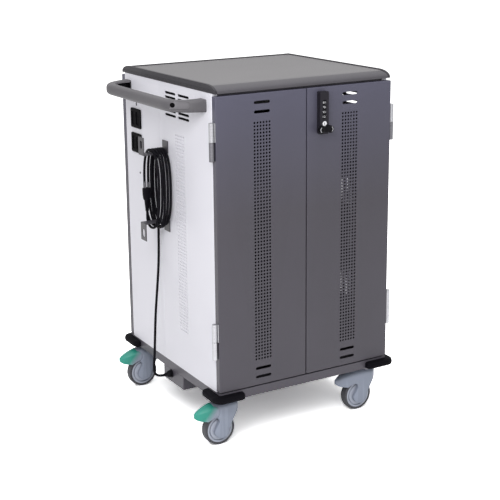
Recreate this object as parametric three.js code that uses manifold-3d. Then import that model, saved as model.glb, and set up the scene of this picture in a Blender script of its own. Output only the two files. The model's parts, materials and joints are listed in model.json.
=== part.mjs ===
// Laptop charging cart: a steel cabinet on four casters, with a push handle and a cord hung on two hooks.
// Millimetres, +Z up, +X to the viewer's right when facing the front doors, which look along -Y.
import * as THREE from "three";
import { mergeVertices } from "three/addons/utils/BufferGeometryUtils.js";
import Module from "manifold-3d";

const wasm = await Module();
wasm.setup();

// Clearances
const seat = 0.3;
const running = 0.3;

// Casters
const casterHeight = 148;
const casterInsetX = 50;
const casterInsetY = 44;
const wheelRadius = 50;
const wheelWidth = 26;
const wheelFacets = 20;
const wheelClearance = 4.5;
const wheelSideGap = 2.5;
const tyreDepth = 8;
const axleRadius = 6;
const trail = 34;
const legRadius = 24;
const hoodRise = 38;
const hoodRadius = 32;
const hoodHalfWidth = 28;
const beakReach = 116;
const beakDrop = 29;
const notchDrop = 5;
const toothDrop = 10;
const toothReach = 43;
const neckRadius = 22;
const pedalKnuckle = 17;
const pedalPivotReach = 24;
const pedalClearance = 10;
const knuckleGap = 0.9;

// Base
const skirtHeight = 27;
const baseSheet = 3;
const baseCorner = 6;
const padSize = 92;
const beamWidth = 135;
const beamHeight = 44;
const beamOffsetY = -8;
const bumperHeight = 23;
const bumperProud = 23;
const bumperArm = 80;
const bumperEnd = 14;

// Cabinet shell
const cabinetWidth = 606;
const panelDepth = 580;
const panelSheet = 3;
const panelReturn = 18;
const baseGap = 3;
const doorHeight = 880;
const doorThickness = 20;
const doorGap = 2;
const doorSeam = 3;
const doorSheet = 2;
const worktopGap = 7;
const worktopThickness = 24;
const worktopSetback = 5;
const noseDepth = 55;
const noseLip = 4;
const rimHeight = 3;
const rimWidth = 9;

// Vent slots
const doorSlotLength = 54;
const doorSlotWidth = 9;
const doorSlotInset = 26;
const doorSlotPitch = 27;
const sideSlotLength = 73;
const sideSlotWidth = 8;
const sideSlotGap = 12;
const sideSlotRows = 6;
const sideSlotPitch = 13.3;
const sideSlotTop = 22;
const sideSlotY = -74;

// Door hinges
const hingeHeight = 110;
const hingeRadius = 7.5;
const hingeOffset = 9;
const upperHingeInset = 128;
const lowerHingeInset = 160;
const hingeSplit = 0.6;
const leafThickness = 2.5;
const leafLength = 24;

// Combination lock on the right door
const lockWidth = 30;
const lockDepth = 17;
const lockTop = 11;
const lockHeight = 125;
const lockOffsetX = 50;
const dialCount = 4;
const dialPitch = 14;
const dialRadius = 8;
const dialProud = 1.5;
const dialsBelowTop = 25;
const spindleRadius = 2.5;
const cylinderRadius = 7.5;
const cylinderBelowTop = 94;
const knobBelowTop = 110;
const knobSpan = 50;
const knobHeight = 22;
const knobDepth = 13;
const knobBossRadius = 7.5;
const knobBossDepth = 2.4;
const shaftRadius = 4.5;
const camLength = 85;
const camWidth = 18;
const camThickness = 3;

// Interior
const shelfCount = 3;
const slotsPerShelf = 8;
const shelfSheet = 2;
const shelfLip = 18;
const shelfFront = 6;
const dividerHeight = 170;
const dividerDepth = 260;
const bulkheadY = 45;
const bulkheadSheet = 3;
const cableSlotLength = 420;
const cableSlotHeight = 36;
const railLength = 480;
const railDepth = 48;
const railHeight = 40;
const railSockets = 8;
const socketSize = 28;
const socketProud = 3;

// Push handle on the left panel
const gripDiameter = 34;
const handleReach = 100;
const handleLength = 544;
const handleOffsetY = 10;
const handleBelowTop = 31;
const footWidth = 42;
const footHeight = 37;
const armBend = 76;
const armPocketLength = 44;
const armPocketHeight = 23;
const screwRecessLength = 62;
const screwRecessHeight = 22;
const screwHoleRadius = 4.5;

// Flush power outlets on the left panel
const outletWidth = 71;
const outletHeight = 62;
const outletBezel = 4;
const outletBodyDepth = 42;
const outletBodyInset = 6;
const outletY = 208;
const outletBelowTop = 130;
const outletPitch = 79;
const outletPocket = 2.5;

// Cord hooks and the power cord
const hookWidth = 36;
const hookSheet = 3;
const hookReach = 83;
const hookY = 5;
const hookPlateHeight = 34;
const hookLipHeight = 52;
const hookHoleWidth = 14;
const hookHoleHeight = 26;
const upperHookZ = 854;
const lowerHookZ = 638;
const cordDiameter = 8;
const loopCount = 5;
const loopPitch = 8.8;
const lastLoopSpread = 3;
const loopUnevenness = 0.1;
const loopRhythm = 2.06;
const loopSlack = 9;
const loopHalfWidth = 51;
const loopBend = 40;
const loopFullness = 2.5;
const loopSteps = 24;
const loopSides = 6;
const firstLoopOut = 9;
const plugBend = 24;
const plugBodyLength = 72;
const plugSleeveLength = 30;
const plugWidth = 26;
const plugDepth = 20;
const glandRadius = 11;
const glandReach = 25;
const glandY = 6;
const glandBelowSkirt = 15;

// The free run of the cord, as steps away from the panel, back and up from the gland's mouth
const runWaypoints = [
  [0, 0, 0],
  [8, 0, 0],
  [24, -1, 4],
  [36, -5, 16],
  [40, -9, 34],
  [37, -10, 80],
  [23, 4, 200],
  [-11, 42, 360],
];

// Derived levels and half sizes
const halfWidth = cabinetWidth / 2;
const halfDepth = panelDepth / 2;
const baseTop = casterHeight + skirtHeight;
const doorBottom = baseTop + baseGap;
const doorTop = doorBottom + doorHeight;
const worktopBottom = doorTop + worktopGap;
const worktopTop = worktopBottom + worktopThickness;
const doorInner = halfDepth + doorGap;
const doorOuter = doorInner + doorThickness;
const panelBottom = baseTop + seat;
const panelTop = worktopBottom - seat;
const innerHalfWidth = halfWidth - panelSheet - seat;
const hingeX = halfWidth + hingeOffset;
const hingeY = doorInner + doorThickness / 2;
const swivelX = halfWidth - casterInsetX;
const swivelY = doorOuter - casterInsetY;

// Finishes
const finish = (color, roughness, metalness) =>
  new THREE.MeshStandardMaterial({ color, roughness, metalness });
const charcoal = finish(0x5f5d66, 0.55, 0.1);
const white = finish(0xdddce4, 0.5, 0.05);
const topGrey = finish(0x8b8a8d, 0.6, 0.0);
const steel = finish(0xc0c0c4, 0.35, 0.9);
const black = finish(0x17161a, 0.6, 0.0);
const rubber = finish(0x1a191e, 0.85, 0.0);
const tread = finish(0x4b4b50, 0.85, 0.0);
const casterGrey = finish(0x8d95a6, 0.5, 0.0);
const pedalGreen = finish(0x3fae92, 0.5, 0.0);
const gripGrey = finish(0x6b6b6e, 0.6, 0.0);
const bracketGrey = finish(0x77767b, 0.45, 0.6);

// Closed geometry with merged vertices and outward faces
function closed(geometry) {
  const bare = geometry.clone();
  bare.deleteAttribute("normal");
  bare.deleteAttribute("uv");
  const merged = mergeVertices(bare, 1e-4);
  const p = merged.attributes.position;
  const index = merged.index.array;
  const a = new THREE.Vector3();
  const b = new THREE.Vector3();
  const c = new THREE.Vector3();
  let volume = 0;
  for (let i = 0; i < index.length; i += 3) {
    a.fromBufferAttribute(p, index[i]);
    b.fromBufferAttribute(p, index[i + 1]);
    c.fromBufferAttribute(p, index[i + 2]);
    volume += a.dot(b.cross(c));
  }
  if (volume < 0) {
    for (let i = 0; i < index.length; i += 3) {
      [index[i], index[i + 1]] = [index[i + 1], index[i]];
    }
  }
  return merged;
}

function toSolid(geometry) {
  const merged = closed(geometry);
  const vertProperties = new Float32Array(merged.attributes.position.array);
  const triVerts = new Uint32Array(merged.index.array);
  return new wasm.Manifold(new wasm.Mesh({ numProp: 3, vertProperties, triVerts }));
}

function toGeometry(solid) {
  const mesh = solid.getMesh();
  const geometry = new THREE.BufferGeometry();
  geometry.setAttribute("position", new THREE.BufferAttribute(new Float32Array(mesh.vertProperties), 3));
  geometry.setIndex(new THREE.BufferAttribute(new Uint32Array(mesh.triVerts), 1));
  return geometry;
}

const combine = (operation) => (first, ...others) =>
  toGeometry(others.reduce((solid, other) => solid[operation](toSolid(other)), toSolid(first)));
const join = combine("add");
const cut = combine("subtract");
const common = combine("intersect");

// Primitive forms placed by their limits
function block(x0, x1, y0, y1, z0, z1) {
  const geometry = new THREE.BoxGeometry(x1 - x0, y1 - y0, z1 - z0);
  return geometry.translate((x0 + x1) / 2, (y0 + y1) / 2, (z0 + z1) / 2);
}

function extrude(shape, length, curveSegments = 6) {
  return new THREE.ExtrudeGeometry(shape, { depth: length, bevelEnabled: false, curveSegments });
}

// A plan outline in X and Y raised from z0 to z1
function prismZ(shape, z0, z1, curveSegments) {
  return extrude(shape, z1 - z0, curveSegments).translate(0, 0, z0);
}

// A profile in Y and Z run from x0 to x1
function prismX(shape, x0, x1, curveSegments) {
  const turn = new THREE.Matrix4().makeBasis(
    new THREE.Vector3(0, 1, 0),
    new THREE.Vector3(0, 0, 1),
    new THREE.Vector3(1, 0, 0),
  );
  return extrude(shape, x1 - x0, curveSegments).applyMatrix4(turn).translate(x0, 0, 0);
}

// A profile in X and Z run from y0 to y1
function prismY(shape, y0, y1, curveSegments) {
  return extrude(shape, y1 - y0, curveSegments).rotateX(Math.PI / 2).translate(0, y1, 0);
}

function polygon(points) {
  return new THREE.Shape(points.map(([x, y]) => new THREE.Vector2(x, y)));
}

function roundedRectangle(cx, cy, width, height, radius) {
  const shape = new THREE.Shape();
  const left = cx - width / 2;
  const right = cx + width / 2;
  const low = cy - height / 2;
  const high = cy + height / 2;
  shape.absarc(right - radius, low + radius, radius, -Math.PI / 2, 0);
  shape.absarc(right - radius, high - radius, radius, 0, Math.PI / 2);
  shape.absarc(left + radius, high - radius, radius, Math.PI / 2, Math.PI);
  shape.absarc(left + radius, low + radius, radius, Math.PI, 1.5 * Math.PI);
  return shape;
}

// A slot with half-round ends, along whichever side is longer
function stadium(cx, cy, width, height) {
  const shape = new THREE.Shape();
  const radius = Math.min(width, height) / 2;
  const dx = width / 2 - radius;
  const dy = height / 2 - radius;
  const start = dx > dy ? -Math.PI / 2 : 0;
  shape.absarc(cx + dx, cy + dy, radius, start, start + Math.PI);
  shape.absarc(cx - dx, cy - dy, radius, start + Math.PI, start + 2 * Math.PI);
  return shape;
}

// A round outline with a given number of sides
function disc(cx, cy, radius, sides) {
  const points = Array.from({ length: sides }, (_, i) => {
    const angle = (2 * Math.PI * (i + 0.5)) / sides;
    return [cx + radius * Math.cos(angle), cy + radius * Math.sin(angle)];
  });
  return polygon(points);
}

// A round hole whose flats, not its corners, keep the radius, so that a shaft turns freely in it
function bore(cx, cy, radius, sides) {
  return disc(cx, cy, radius / Math.cos(Math.PI / sides), sides);
}

// A form through rings of equal point counts, closed by a fan at each end
function loft(rings) {
  const sides = rings[0].length;
  const positions = rings.flat().flatMap((point) => [point.x, point.y, point.z]);
  const index = [];
  for (let ring = 0; ring + 1 < rings.length; ring += 1) {
    for (let side = 0; side < sides; side += 1) {
      const a = ring * sides + side;
      const b = ring * sides + ((side + 1) % sides);
      index.push(a, b, a + sides, b, b + sides, a + sides);
    }
  }
  const last = (rings.length - 1) * sides;
  for (let side = 1; side + 1 < sides; side += 1) {
    index.push(0, side + 1, side, last, last + side, last + side + 1);
  }
  const geometry = new THREE.BufferGeometry();
  geometry.setAttribute("position", new THREE.Float32BufferAttribute(positions, 3));
  geometry.setIndex(index);
  return geometry;
}

// A round tube along points, its section carried along without twist
function tube(points, radius, sides) {
  const tangents = points.map((point, i) => {
    const before = points[Math.max(i - 1, 0)];
    const after = points[Math.min(i + 1, points.length - 1)];
    return after.clone().sub(before).normalize();
  });
  let across = new THREE.Vector3(1, 0, 0).cross(tangents[0]).normalize();
  const rings = points.map((point, i) => {
    across = across.clone().addScaledVector(tangents[i], -across.dot(tangents[i])).normalize();
    const up = tangents[i].clone().cross(across);
    return Array.from({ length: sides }, (_, side) => {
      const angle = (2 * Math.PI * side) / sides;
      const spoke = across.clone().multiplyScalar(Math.cos(angle)).addScaledVector(up, Math.sin(angle));
      return point.clone().addScaledVector(spoke, radius);
    });
  });
  return loft(rings);
}

const cart = new THREE.Group();

function place(parent, name, geometry, material) {
  const mesh = new THREE.Mesh(closed(geometry), material);
  mesh.name = name;
  parent.add(mesh);
  return mesh;
}

// Base frame: a shallow pan with a pad over each caster, and a trough across it below
function baseFrame() {
  const outline = (inset) => roundedRectangle(0, 0, cabinetWidth - 2 * inset, 2 * (doorOuter - inset),
    baseCorner - inset / 2);
  const skirt = prismZ(outline(0), casterHeight, baseTop, 2);
  const hollow = prismZ(outline(baseSheet), casterHeight - 1, baseTop - baseSheet, 2);
  const pads = [-1, 1].flatMap((sx) => [-1, 1].map((sy) => block(
    sx * swivelX - padSize / 2, sx * swivelX + padSize / 2,
    sy * swivelY - padSize / 2, sy * swivelY + padSize / 2,
    casterHeight, baseTop - baseSheet / 2,
  )));
  return common(join(cut(skirt, hollow), ...pads), skirt);
}

function baseBeam() {
  const front = beamOffsetY - beamWidth / 2;
  const rear = beamOffsetY + beamWidth / 2;
  const bottom = casterHeight - beamHeight;
  const top = casterHeight - seat;
  return cut(
    block(-halfWidth, halfWidth, front, rear, bottom, top),
    block(-halfWidth + baseSheet, halfWidth - baseSheet, front + baseSheet, rear - baseSheet,
      bottom + baseSheet, top + 1),
  );
}

// A corner bumper: a fat half-round strip swept along two sides of the skirt's corner, with soft ends
function bumper(sx, sy) {
  const corner = { x: -halfWidth + baseCorner, y: -doorOuter + baseCorner };
  const straight = bumperArm - baseCorner;
  const middle = casterHeight + bumperHeight / 2;
  const armStations = [[straight, 0.4], [straight - bumperEnd / 3, 0.85], [straight - bumperEnd, 1], [0, 1]];
  const turns = [1, 2, 3].map((i) => [Math.PI * (1 + i / 8), 0, 1]);
  const stations = [
    ...armStations.map(([along, fullness]) => [Math.PI, along, fullness]),
    ...turns,
    ...armStations.reverse().map(([along, fullness]) => [1.5 * Math.PI, along, fullness]),
  ];
  const soft = (value) => Math.sign(value) * Math.abs(value) ** 0.6;
  const rings = stations.map(([angle, along, fullness]) => {
    const outward = new THREE.Vector3(Math.cos(angle), Math.sin(angle), 0);
    const foot = new THREE.Vector3(corner.x, corner.y, middle).addScaledVector(outward, baseCorner + seat);
    if (angle === Math.PI) {
      foot.y += along;
    } else {
      foot.x += along;
    }
    return Array.from({ length: 7 }, (_, i) => {
      const turn = (Math.PI * (i - 3)) / 6;
      return foot.clone()
        .addScaledVector(outward, bumperProud * fullness * soft(Math.cos(turn)))
        .add(new THREE.Vector3(0, 0, (bumperHeight / 2) * Math.sqrt(fullness) * soft(Math.sin(turn))));
    });
  });
  return loft(rings).scale(sx, sy, 1);
}

function buildBase() {
  place(cart, "base_frame", baseFrame(), charcoal);
  place(cart, "base_beam", baseBeam(), charcoal);
  for (const [side, sx] of [["left", 1], ["right", -1]]) {
    place(cart, `bumper_front_${side}`, bumper(sx, 1), rubber);
    place(cart, `bumper_rear_${side}`, bumper(sx, -1), rubber);
  }
}

// Casters, drawn about their swivel axis with the wheel trailing towards +X and the floor at zero
const hubHeight = wheelRadius;
const notchTop = 2 * wheelRadius - notchDrop;
const hoodTop = 2 * wheelRadius + hoodRise;
const slotHalfWidth = wheelWidth / 2 + wheelSideGap;
const pedalPivot = { x: trail + pedalPivotReach, z: notchTop + pedalKnuckle };

// One section across the hood: upright sides below, an arched crown above
function hoodSection(x) {
  const along = Math.abs(x) / (x < 0 ? hoodRadius : beakReach);
  const half = hoodHalfWidth * (1 - along ** 2) ** (x < 0 ? 0.5 : 0.75);
  const crown = hoodTop - (x < 0 ? 0.3 : 1) * beakDrop * along ** 2.6;
  const arch = 0.6 * half;
  const arc = Array.from({ length: 7 }, (_, i) => {
    const angle = (Math.PI * i) / 6;
    return new THREE.Vector3(x, half * Math.cos(angle), crown - arch + arch * Math.sin(angle));
  });
  return [new THREE.Vector3(x, half, 0), ...arc, new THREE.Vector3(x, -half, 0)];
}

function hoodForm() {
  const backRings = 3;
  const beakRings = 8;
  const spread = (share) => Math.sin(0.45 * Math.PI * share);
  const stations = Array.from({ length: backRings + beakRings + 1 }, (_, i) => (i < backRings
    ? -hoodRadius * spread(1 - i / backRings)
    : beakReach * spread((i - backRings) / beakRings)));
  return common(loft(stations.map(hoodSection)), prismY(forkSide(), -hoodRadius, hoodRadius, 5));
}

// Side view: round leg ends at the axle, a notch over the tyre, and a tooth below the beak
function forkSide() {
  const shape = new THREE.Shape();
  shape.moveTo(trail + legRadius, hubHeight);
  shape.lineTo(trail + legRadius / 3, notchTop - 15);
  shape.quadraticCurveTo(trail + legRadius / 3, notchTop, pedalPivot.x, notchTop);
  shape.lineTo(trail + toothReach, notchTop - toothDrop);
  shape.lineTo(beakReach, hoodTop - beakDrop - 5);
  shape.lineTo(beakReach, casterHeight);
  shape.lineTo(-hoodRadius, casterHeight);
  shape.lineTo(-hoodRadius, hoodTop - beakDrop);
  shape.quadraticCurveTo(-4, notchTop - 3, trail - legRadius, hubHeight);
  shape.absarc(trail, hubHeight, legRadius, Math.PI, 2 * Math.PI);
  return shape;
}

function wheelSlot(clearance) {
  const radius = wheelRadius + clearance;
  const round = prismY(bore(trail, hubHeight, radius, 18), -slotHalfWidth, slotHalfWidth);
  return join(round, block(trail - radius, trail + radius, -slotHalfWidth, slotHalfWidth, -1, hubHeight));
}

// The beak in front of the pedal's pivot, with a round knuckle about it
function beakZone(knuckleOutline) {
  const wide = hoodRadius + 1;
  const knuckle = prismY(knuckleOutline, -wide, wide);
  const beyond = block(pedalPivot.x, 2 * beakReach, -wide, wide, hubHeight + legRadius, casterHeight);
  return join(beyond, knuckle);
}

function casterFork(braked) {
  const axleEnd = slotHalfWidth + 4;
  const axle = prismY(disc(trail, hubHeight, axleRadius, 8), -axleEnd, axleEnd);
  const neck = prismZ(disc(0, 0, neckRadius, 16), hoodTop - 8, casterHeight - seat);
  let body = cut(hoodForm(), wheelSlot(wheelClearance));
  if (braked) {
    body = cut(body, beakZone(bore(pedalPivot.x, pedalPivot.z, pedalKnuckle + knuckleGap, 14)));
  }
  return join(body, axle, neck);
}

function brakePedal() {
  const zone = beakZone(disc(pedalPivot.x + running, pedalPivot.z, pedalKnuckle, 14));
  return cut(common(hoodForm(), zone), wheelSlot(pedalClearance));
}

function lathe(profile, facets) {
  const points = [...profile, profile[0]].map(([r, y]) => new THREE.Vector2(r, y));
  return new THREE.LatheGeometry(points, facets, Math.PI / facets);
}

// The tread's flats touch the floor, so its corners lie a little further out
function tyre() {
  const half = wheelWidth / 2;
  const crown = wheelRadius / Math.cos(Math.PI / wheelFacets);
  const inner = crown - tyreDepth;
  return lathe([
    [inner, -half + 1],
    [crown - 3, -half],
    [crown, -half + 5],
    [crown, half - 5],
    [crown - 3, half],
    [inner, half - 1],
  ], wheelFacets);
}

function wheelHub() {
  const half = wheelWidth / 2 - 1;
  const rim = wheelRadius / Math.cos(Math.PI / wheelFacets) - tyreDepth - seat;
  const groove = 3;
  const boss = axleRadius + 7;
  return lathe([
    [axleRadius + running, -half],
    [boss, -half],
    [boss + 2, -half + groove],
    [rim - 9, -half + groove],
    [rim - 6, -half],
    [rim, -half],
    [rim, half],
    [rim - 6, half],
    [rim - 9, half - groove],
    [boss + 2, half - groove],
    [boss, half],
    [axleRadius + running, half],
  ], wheelFacets);
}

function buildCasters() {
  for (const [end, sy] of [["front", -1], ["rear", 1]]) {
    for (const [side, sx] of [["left", -1], ["right", 1]]) {
      const label = `${end}_${side}`;
      const braked = side === "left";
      const caster = new THREE.Group();
      caster.position.set(sx * swivelX, sy * swivelY, 0);
      caster.rotation.z = Math.PI;
      place(caster, `caster_fork_${label}`, casterFork(braked), casterGrey);
      const wheel = new THREE.Group();
      wheel.position.set(trail, 0, hubHeight);
      place(wheel, `wheel_hub_${label}`, wheelHub(), casterGrey);
      place(wheel, `tyre_${label}`, tyre(), tread);
      caster.add(wheel);
      if (braked) {
        place(caster, `brake_pedal_${label}`, brakePedal(), pedalGreen);
      }
      cart.add(caster);
    }
  }
}

// Side panels: sheet with a return at the front and rear edges, and paired vent slots near the top
function sidePanel() {
  const inner = -halfWidth + panelReturn;
  const skin = -halfWidth + panelSheet;
  const shell = prismZ(polygon([
    [-halfWidth, -halfDepth],
    [inner, -halfDepth],
    [inner, -halfDepth + panelSheet],
    [skin, -halfDepth + panelSheet],
    [skin, halfDepth - panelSheet],
    [inner, halfDepth - panelSheet],
    [inner, halfDepth],
    [-halfWidth, halfDepth],
  ]), panelBottom, panelTop);
  const slots = [];
  for (let row = 0; row < sideSlotRows; row += 1) {
    for (const side of [-1, 1]) {
      const y = sideSlotY + side * (sideSlotLength + sideSlotGap) / 2;
      const z = doorTop - sideSlotTop - row * sideSlotPitch;
      const outline = stadium(y, z, sideSlotLength, sideSlotWidth);
      slots.push(prismX(outline, -halfWidth - 1, skin + 1, 2));
    }
  }
  return cut(shell, ...slots);
}

function outletHeights() {
  const upper = doorTop - outletBelowTop;
  return [["upper", upper], ["lower", upper - outletPitch]];
}

function leftPanel() {
  const holeWidth = outletWidth - 2 * outletBodyInset + 2 * seat;
  const holeHeight = outletHeight - 2 * outletBodyInset + 2 * seat;
  const holes = outletHeights().map(([, z]) => block(
    -halfWidth - 1, -halfWidth + panelSheet + 1,
    outletY - holeWidth / 2, outletY + holeWidth / 2,
    z - holeHeight / 2, z + holeHeight / 2,
  ));
  return cut(sidePanel(), ...holes);
}

// A flush outlet: bezel outside the panel, body inside it, and two shallow receptacle faces
function outlet(z) {
  const face = -halfWidth - seat;
  const front = face - outletBezel;
  const bodyWidth = outletWidth - 2 * outletBodyInset;
  const bodyHeight = outletHeight - 2 * outletBodyInset;
  const bezel = prismX(roundedRectangle(outletY, z, outletWidth, outletHeight, 5), front, face, 2);
  const body = block(face - 1, face + outletBodyDepth,
    outletY - bodyWidth / 2, outletY + bodyWidth / 2, z - bodyHeight / 2, z + bodyHeight / 2);
  const pockets = [-1, 1].map((side) => prismX(
    roundedRectangle(outletY + side * bodyWidth / 4, z, bodyWidth / 2 - 4, bodyHeight - 8, 6),
    front - 1, front + outletPocket, 2,
  ));
  return cut(join(bezel, body), ...pockets);
}

// Worktop: a board with a drooping nose at front and rear, and a low rim on the other three sides
function worktop() {
  const tip = doorOuter - worktopSetback;
  const flat = tip - noseDepth;
  const drop = worktopThickness - noseLip;
  const shoulder = worktopBottom + noseLip;
  const profile = new THREE.Shape();
  profile.moveTo(-tip, worktopBottom);
  profile.lineTo(tip, worktopBottom);
  profile.absellipse(flat, shoulder, noseDepth, drop, 0, Math.PI / 2);
  profile.absellipse(-flat, shoulder, noseDepth, drop, Math.PI / 2, Math.PI);
  const tray = block(-halfWidth + rimWidth, halfWidth - rimWidth, -tip - 1, flat + 2,
    worktopTop - rimHeight, worktopTop + 1);
  return cut(prismX(profile, -halfWidth, halfWidth, 10), tray);
}

// Doors: folded pans that open towards the cabinet, with two slots near the top and the bottom
function doorPan(x0, x1, slotCentres) {
  const pan = cut(
    block(x0, x1, -doorOuter, -doorInner, doorBottom, doorTop),
    block(x0 + doorSheet, x1 - doorSheet, -doorOuter + doorSheet, -doorInner + 1,
      doorBottom + doorSheet, doorTop - doorSheet),
  );
  const slots = slotCentres.flatMap((x) => [0, 1].flatMap((row) => {
    const inset = doorSlotInset + row * doorSlotPitch;
    return [doorBottom + inset, doorTop - inset].map((z) => prismY(
      stadium(x, z, doorSlotLength, doorSlotWidth), -doorOuter - 1, -doorOuter + doorSheet + 1, 2,
    ));
  }));
  return cut(pan, ...slots);
}

const doorEdge = halfWidth - 0.5;
const doorMiddle = (doorEdge + doorSeam / 2) / 2;

// Hinge halves about their pin; the leaf runs along the cabinet for the fixed half, else along the door
function hingeHalf(bottom, top, fixed) {
  const barrel = prismZ(disc(0, 0, hingeRadius, 12), bottom, top);
  const outside = hingeOffset - seat;
  const length = fixed ? leafLength : -(doorThickness / 2 - 1);
  const leaf = block(outside - leafThickness, outside, Math.min(0, length), Math.max(0, length), bottom, top);
  return join(barrel, leaf);
}

function hingeGroup(sx, sy) {
  const group = new THREE.Group();
  group.position.set(sx * hingeX, sy * hingeY, 0);
  group.scale.set(-sx, -sy, 1);
  return group;
}

const hingeLevels = [["lower", doorBottom + lowerHingeInset], ["upper", doorTop - upperHingeInset]];

function buildHinges(label, sx, sy) {
  const group = hingeGroup(sx, sy);
  for (const [level, z] of hingeLevels) {
    const fixed = hingeHalf(z - hingeHeight / 2, z - hingeSplit / 2, true);
    const moving = hingeHalf(z + hingeSplit / 2, z + hingeHeight / 2, false);
    place(group, `hinge_fixed_${label}_${level}`, fixed, steel);
    place(group, `hinge_door_${label}_${level}`, moving, steel);
  }
  cart.add(group);
}

// The rear door carries its own hinge halves, and is as wide as the cabinet
function buildRearDoor() {
  const group = hingeGroup(1, 1);
  const pan = doorPan(-doorEdge, doorEdge, [-doorMiddle, doorMiddle]).scale(-1, -1, 1);
  const knuckles = hingeLevels.map(([, z]) => hingeHalf(z + hingeSplit / 2, z + hingeHeight / 2, false));
  const reach = hingeOffset + 2;
  const welded = knuckles.map((half, i) => {
    const z = hingeLevels[i][1];
    const strap = block(hingeOffset - leafThickness, reach, -doorThickness / 2 + 1, 0,
      z + hingeSplit / 2, z + hingeHeight / 2);
    return join(half, strap).scale(-1, -1, 1).translate(hingeX, hingeY, 0);
  });
  place(cart, "door_rear", join(pan, ...welded), charcoal);
  for (const [level, z] of hingeLevels) {
    const fixed = hingeHalf(z - hingeHeight / 2, z - hingeSplit / 2, true);
    place(group, `hinge_fixed_rear_${level}`, fixed, steel);
  }
  cart.add(group);
}

// Combination lock
const lockFace = -doorOuter - lockDepth;
const lockHigh = doorTop - lockTop;
const dialsTop = lockHigh - dialsBelowTop;
const knobZ = lockHigh - knobBelowTop;
const cylinderZ = lockHigh - cylinderBelowTop;
const dialY = lockFace - dialProud + dialRadius;

function lockBody() {
  const low = lockHigh - lockHeight;
  const back = -doorOuter - seat;
  const outline = roundedRectangle(lockOffsetX, (low + lockHigh) / 2, lockWidth, lockHeight, 4);
  const shell = prismY(outline, lockFace, back, 3);
  const well = prismZ(bore(lockOffsetX, dialY, dialRadius + running, 16),
    dialsTop - dialCount * dialPitch - seat, dialsTop + seat);
  const spindle = prismZ(disc(lockOffsetX, dialY, spindleRadius, 6),
    dialsTop - dialCount * dialPitch - 1, dialsTop + 1);
  const keyhole = prismY(bore(lockOffsetX, cylinderZ, cylinderRadius + running, 16), lockFace - 1, back - 2);
  const shaft = prismY(bore(lockOffsetX, knobZ, shaftRadius + running, 10), lockFace - 1, back + 1);
  return join(cut(shell, well, keyhole, shaft), spindle);
}

function dial(i) {
  const top = dialsTop - i * dialPitch - seat / 2;
  const height = dialPitch - seat;
  const profile = [
    [spindleRadius + running, top - height],
    [dialRadius, top - height],
    [dialRadius, top],
    [spindleRadius + running, top],
  ];
  return lathe(profile, 10).rotateX(Math.PI / 2).translate(lockOffsetX, dialY, 0);
}

function lockCylinder() {
  const back = -doorOuter - seat - 2;
  const plug = prismY(disc(lockOffsetX, cylinderZ, cylinderRadius, 16), lockFace - 1.5, back - seat);
  const keyway = block(lockOffsetX - 1, lockOffsetX + 1, lockFace - 2, lockFace + 6,
    cylinderZ - 4, cylinderZ + 4);
  return cut(plug, keyway);
}

// Wing knob on a low boss, so that its lobes pass in front of the key cylinder, with a shaft through
// the door and a cam behind it, which hangs down when unlocked
function lockKnob() {
  const back = lockFace - seat;
  const lobe = knobHeight / 2;
  const wing = new THREE.Shape();
  const reach = knobSpan / 2 - lobe;
  wing.absarc(lockOffsetX + reach, knobZ, lobe, -0.7 * Math.PI, 0.7 * Math.PI);
  wing.absarc(lockOffsetX - reach, knobZ, lobe, 0.3 * Math.PI, 1.7 * Math.PI);
  const grip = prismY(wing, back - knobDepth, back - knobBossDepth, 7);
  const boss = prismY(disc(lockOffsetX, knobZ, knobBossRadius, 12), back - knobBossDepth - 1, back);
  const shaft = prismY(disc(lockOffsetX, knobZ, shaftRadius, 10), back - 1, -doorInner + 1 + camThickness);
  const camMiddle = knobZ - camLength / 2 + camWidth / 2;
  const cam = prismY(stadium(lockOffsetX, camMiddle, camWidth, camLength), -doorInner + 1,
    -doorInner + 1 + camThickness, 3);
  return join(grip, boss, shaft, cam);
}

function buildFrontDoors() {
  const seam = doorSeam / 2;
  const shaftHole = prismY(bore(lockOffsetX, knobZ, shaftRadius + 2, 10), -doorOuter - 1,
    -doorOuter + doorSheet + 1);
  place(cart, "door_left", doorPan(-doorEdge, -seam, [-doorMiddle]), charcoal);
  place(cart, "door_right", cut(doorPan(seam, doorEdge, [doorMiddle]), shaftHole), charcoal);
  buildHinges("left", -1, -1);
  buildHinges("right", 1, -1);
  place(cart, "lock_body", lockBody(), black);
  place(cart, "lock_cylinder", lockCylinder(), steel);
  place(cart, "lock_knob", lockKnob(), black);
  for (let i = 0; i < dialCount; i += 1) {
    place(cart, `lock_dial_${i + 1}`, dial(i), black);
  }
}

// Device bay at the front, power bay behind the bulkhead
const shelfRise = (panelTop - baseTop) / shelfCount;
const shelfTop = (level) => baseTop + seat + shelfLip + level * shelfRise;

function shelf(level) {
  const top = shelfTop(level);
  const front = -halfDepth + shelfFront;
  const rear = bulkheadY - bulkheadSheet / 2 - seat;
  const tray = prismX(polygon([
    [front, top - shelfLip],
    [front + shelfSheet, top - shelfLip],
    [front + shelfSheet, top - shelfSheet],
    [rear - shelfSheet, top - shelfSheet],
    [rear - shelfSheet, top - shelfLip],
    [rear, top - shelfLip],
    [rear, top],
    [front, top],
  ]), -innerHalfWidth, innerHalfWidth);
  const pitch = (2 * innerHalfWidth) / slotsPerShelf;
  const dividers = Array.from({ length: slotsPerShelf - 1 }, (_, i) => {
    const x = -innerHalfWidth + (i + 1) * pitch;
    return block(x - shelfSheet / 2, x + shelfSheet / 2, rear - dividerDepth, rear,
      top - shelfSheet / 2, top + dividerHeight);
  });
  const notch = panelReturn - panelSheet;
  const returns = [-1, 1].map((side) => block(
    side * innerHalfWidth - notch, side * innerHalfWidth + notch,
    front - 1, -halfDepth + panelSheet + seat, top - shelfLip - 1, top + 1,
  ));
  const body = join(tray, ...dividers);
  return front < -halfDepth + panelSheet + seat ? cut(body, ...returns) : body;
}

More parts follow.
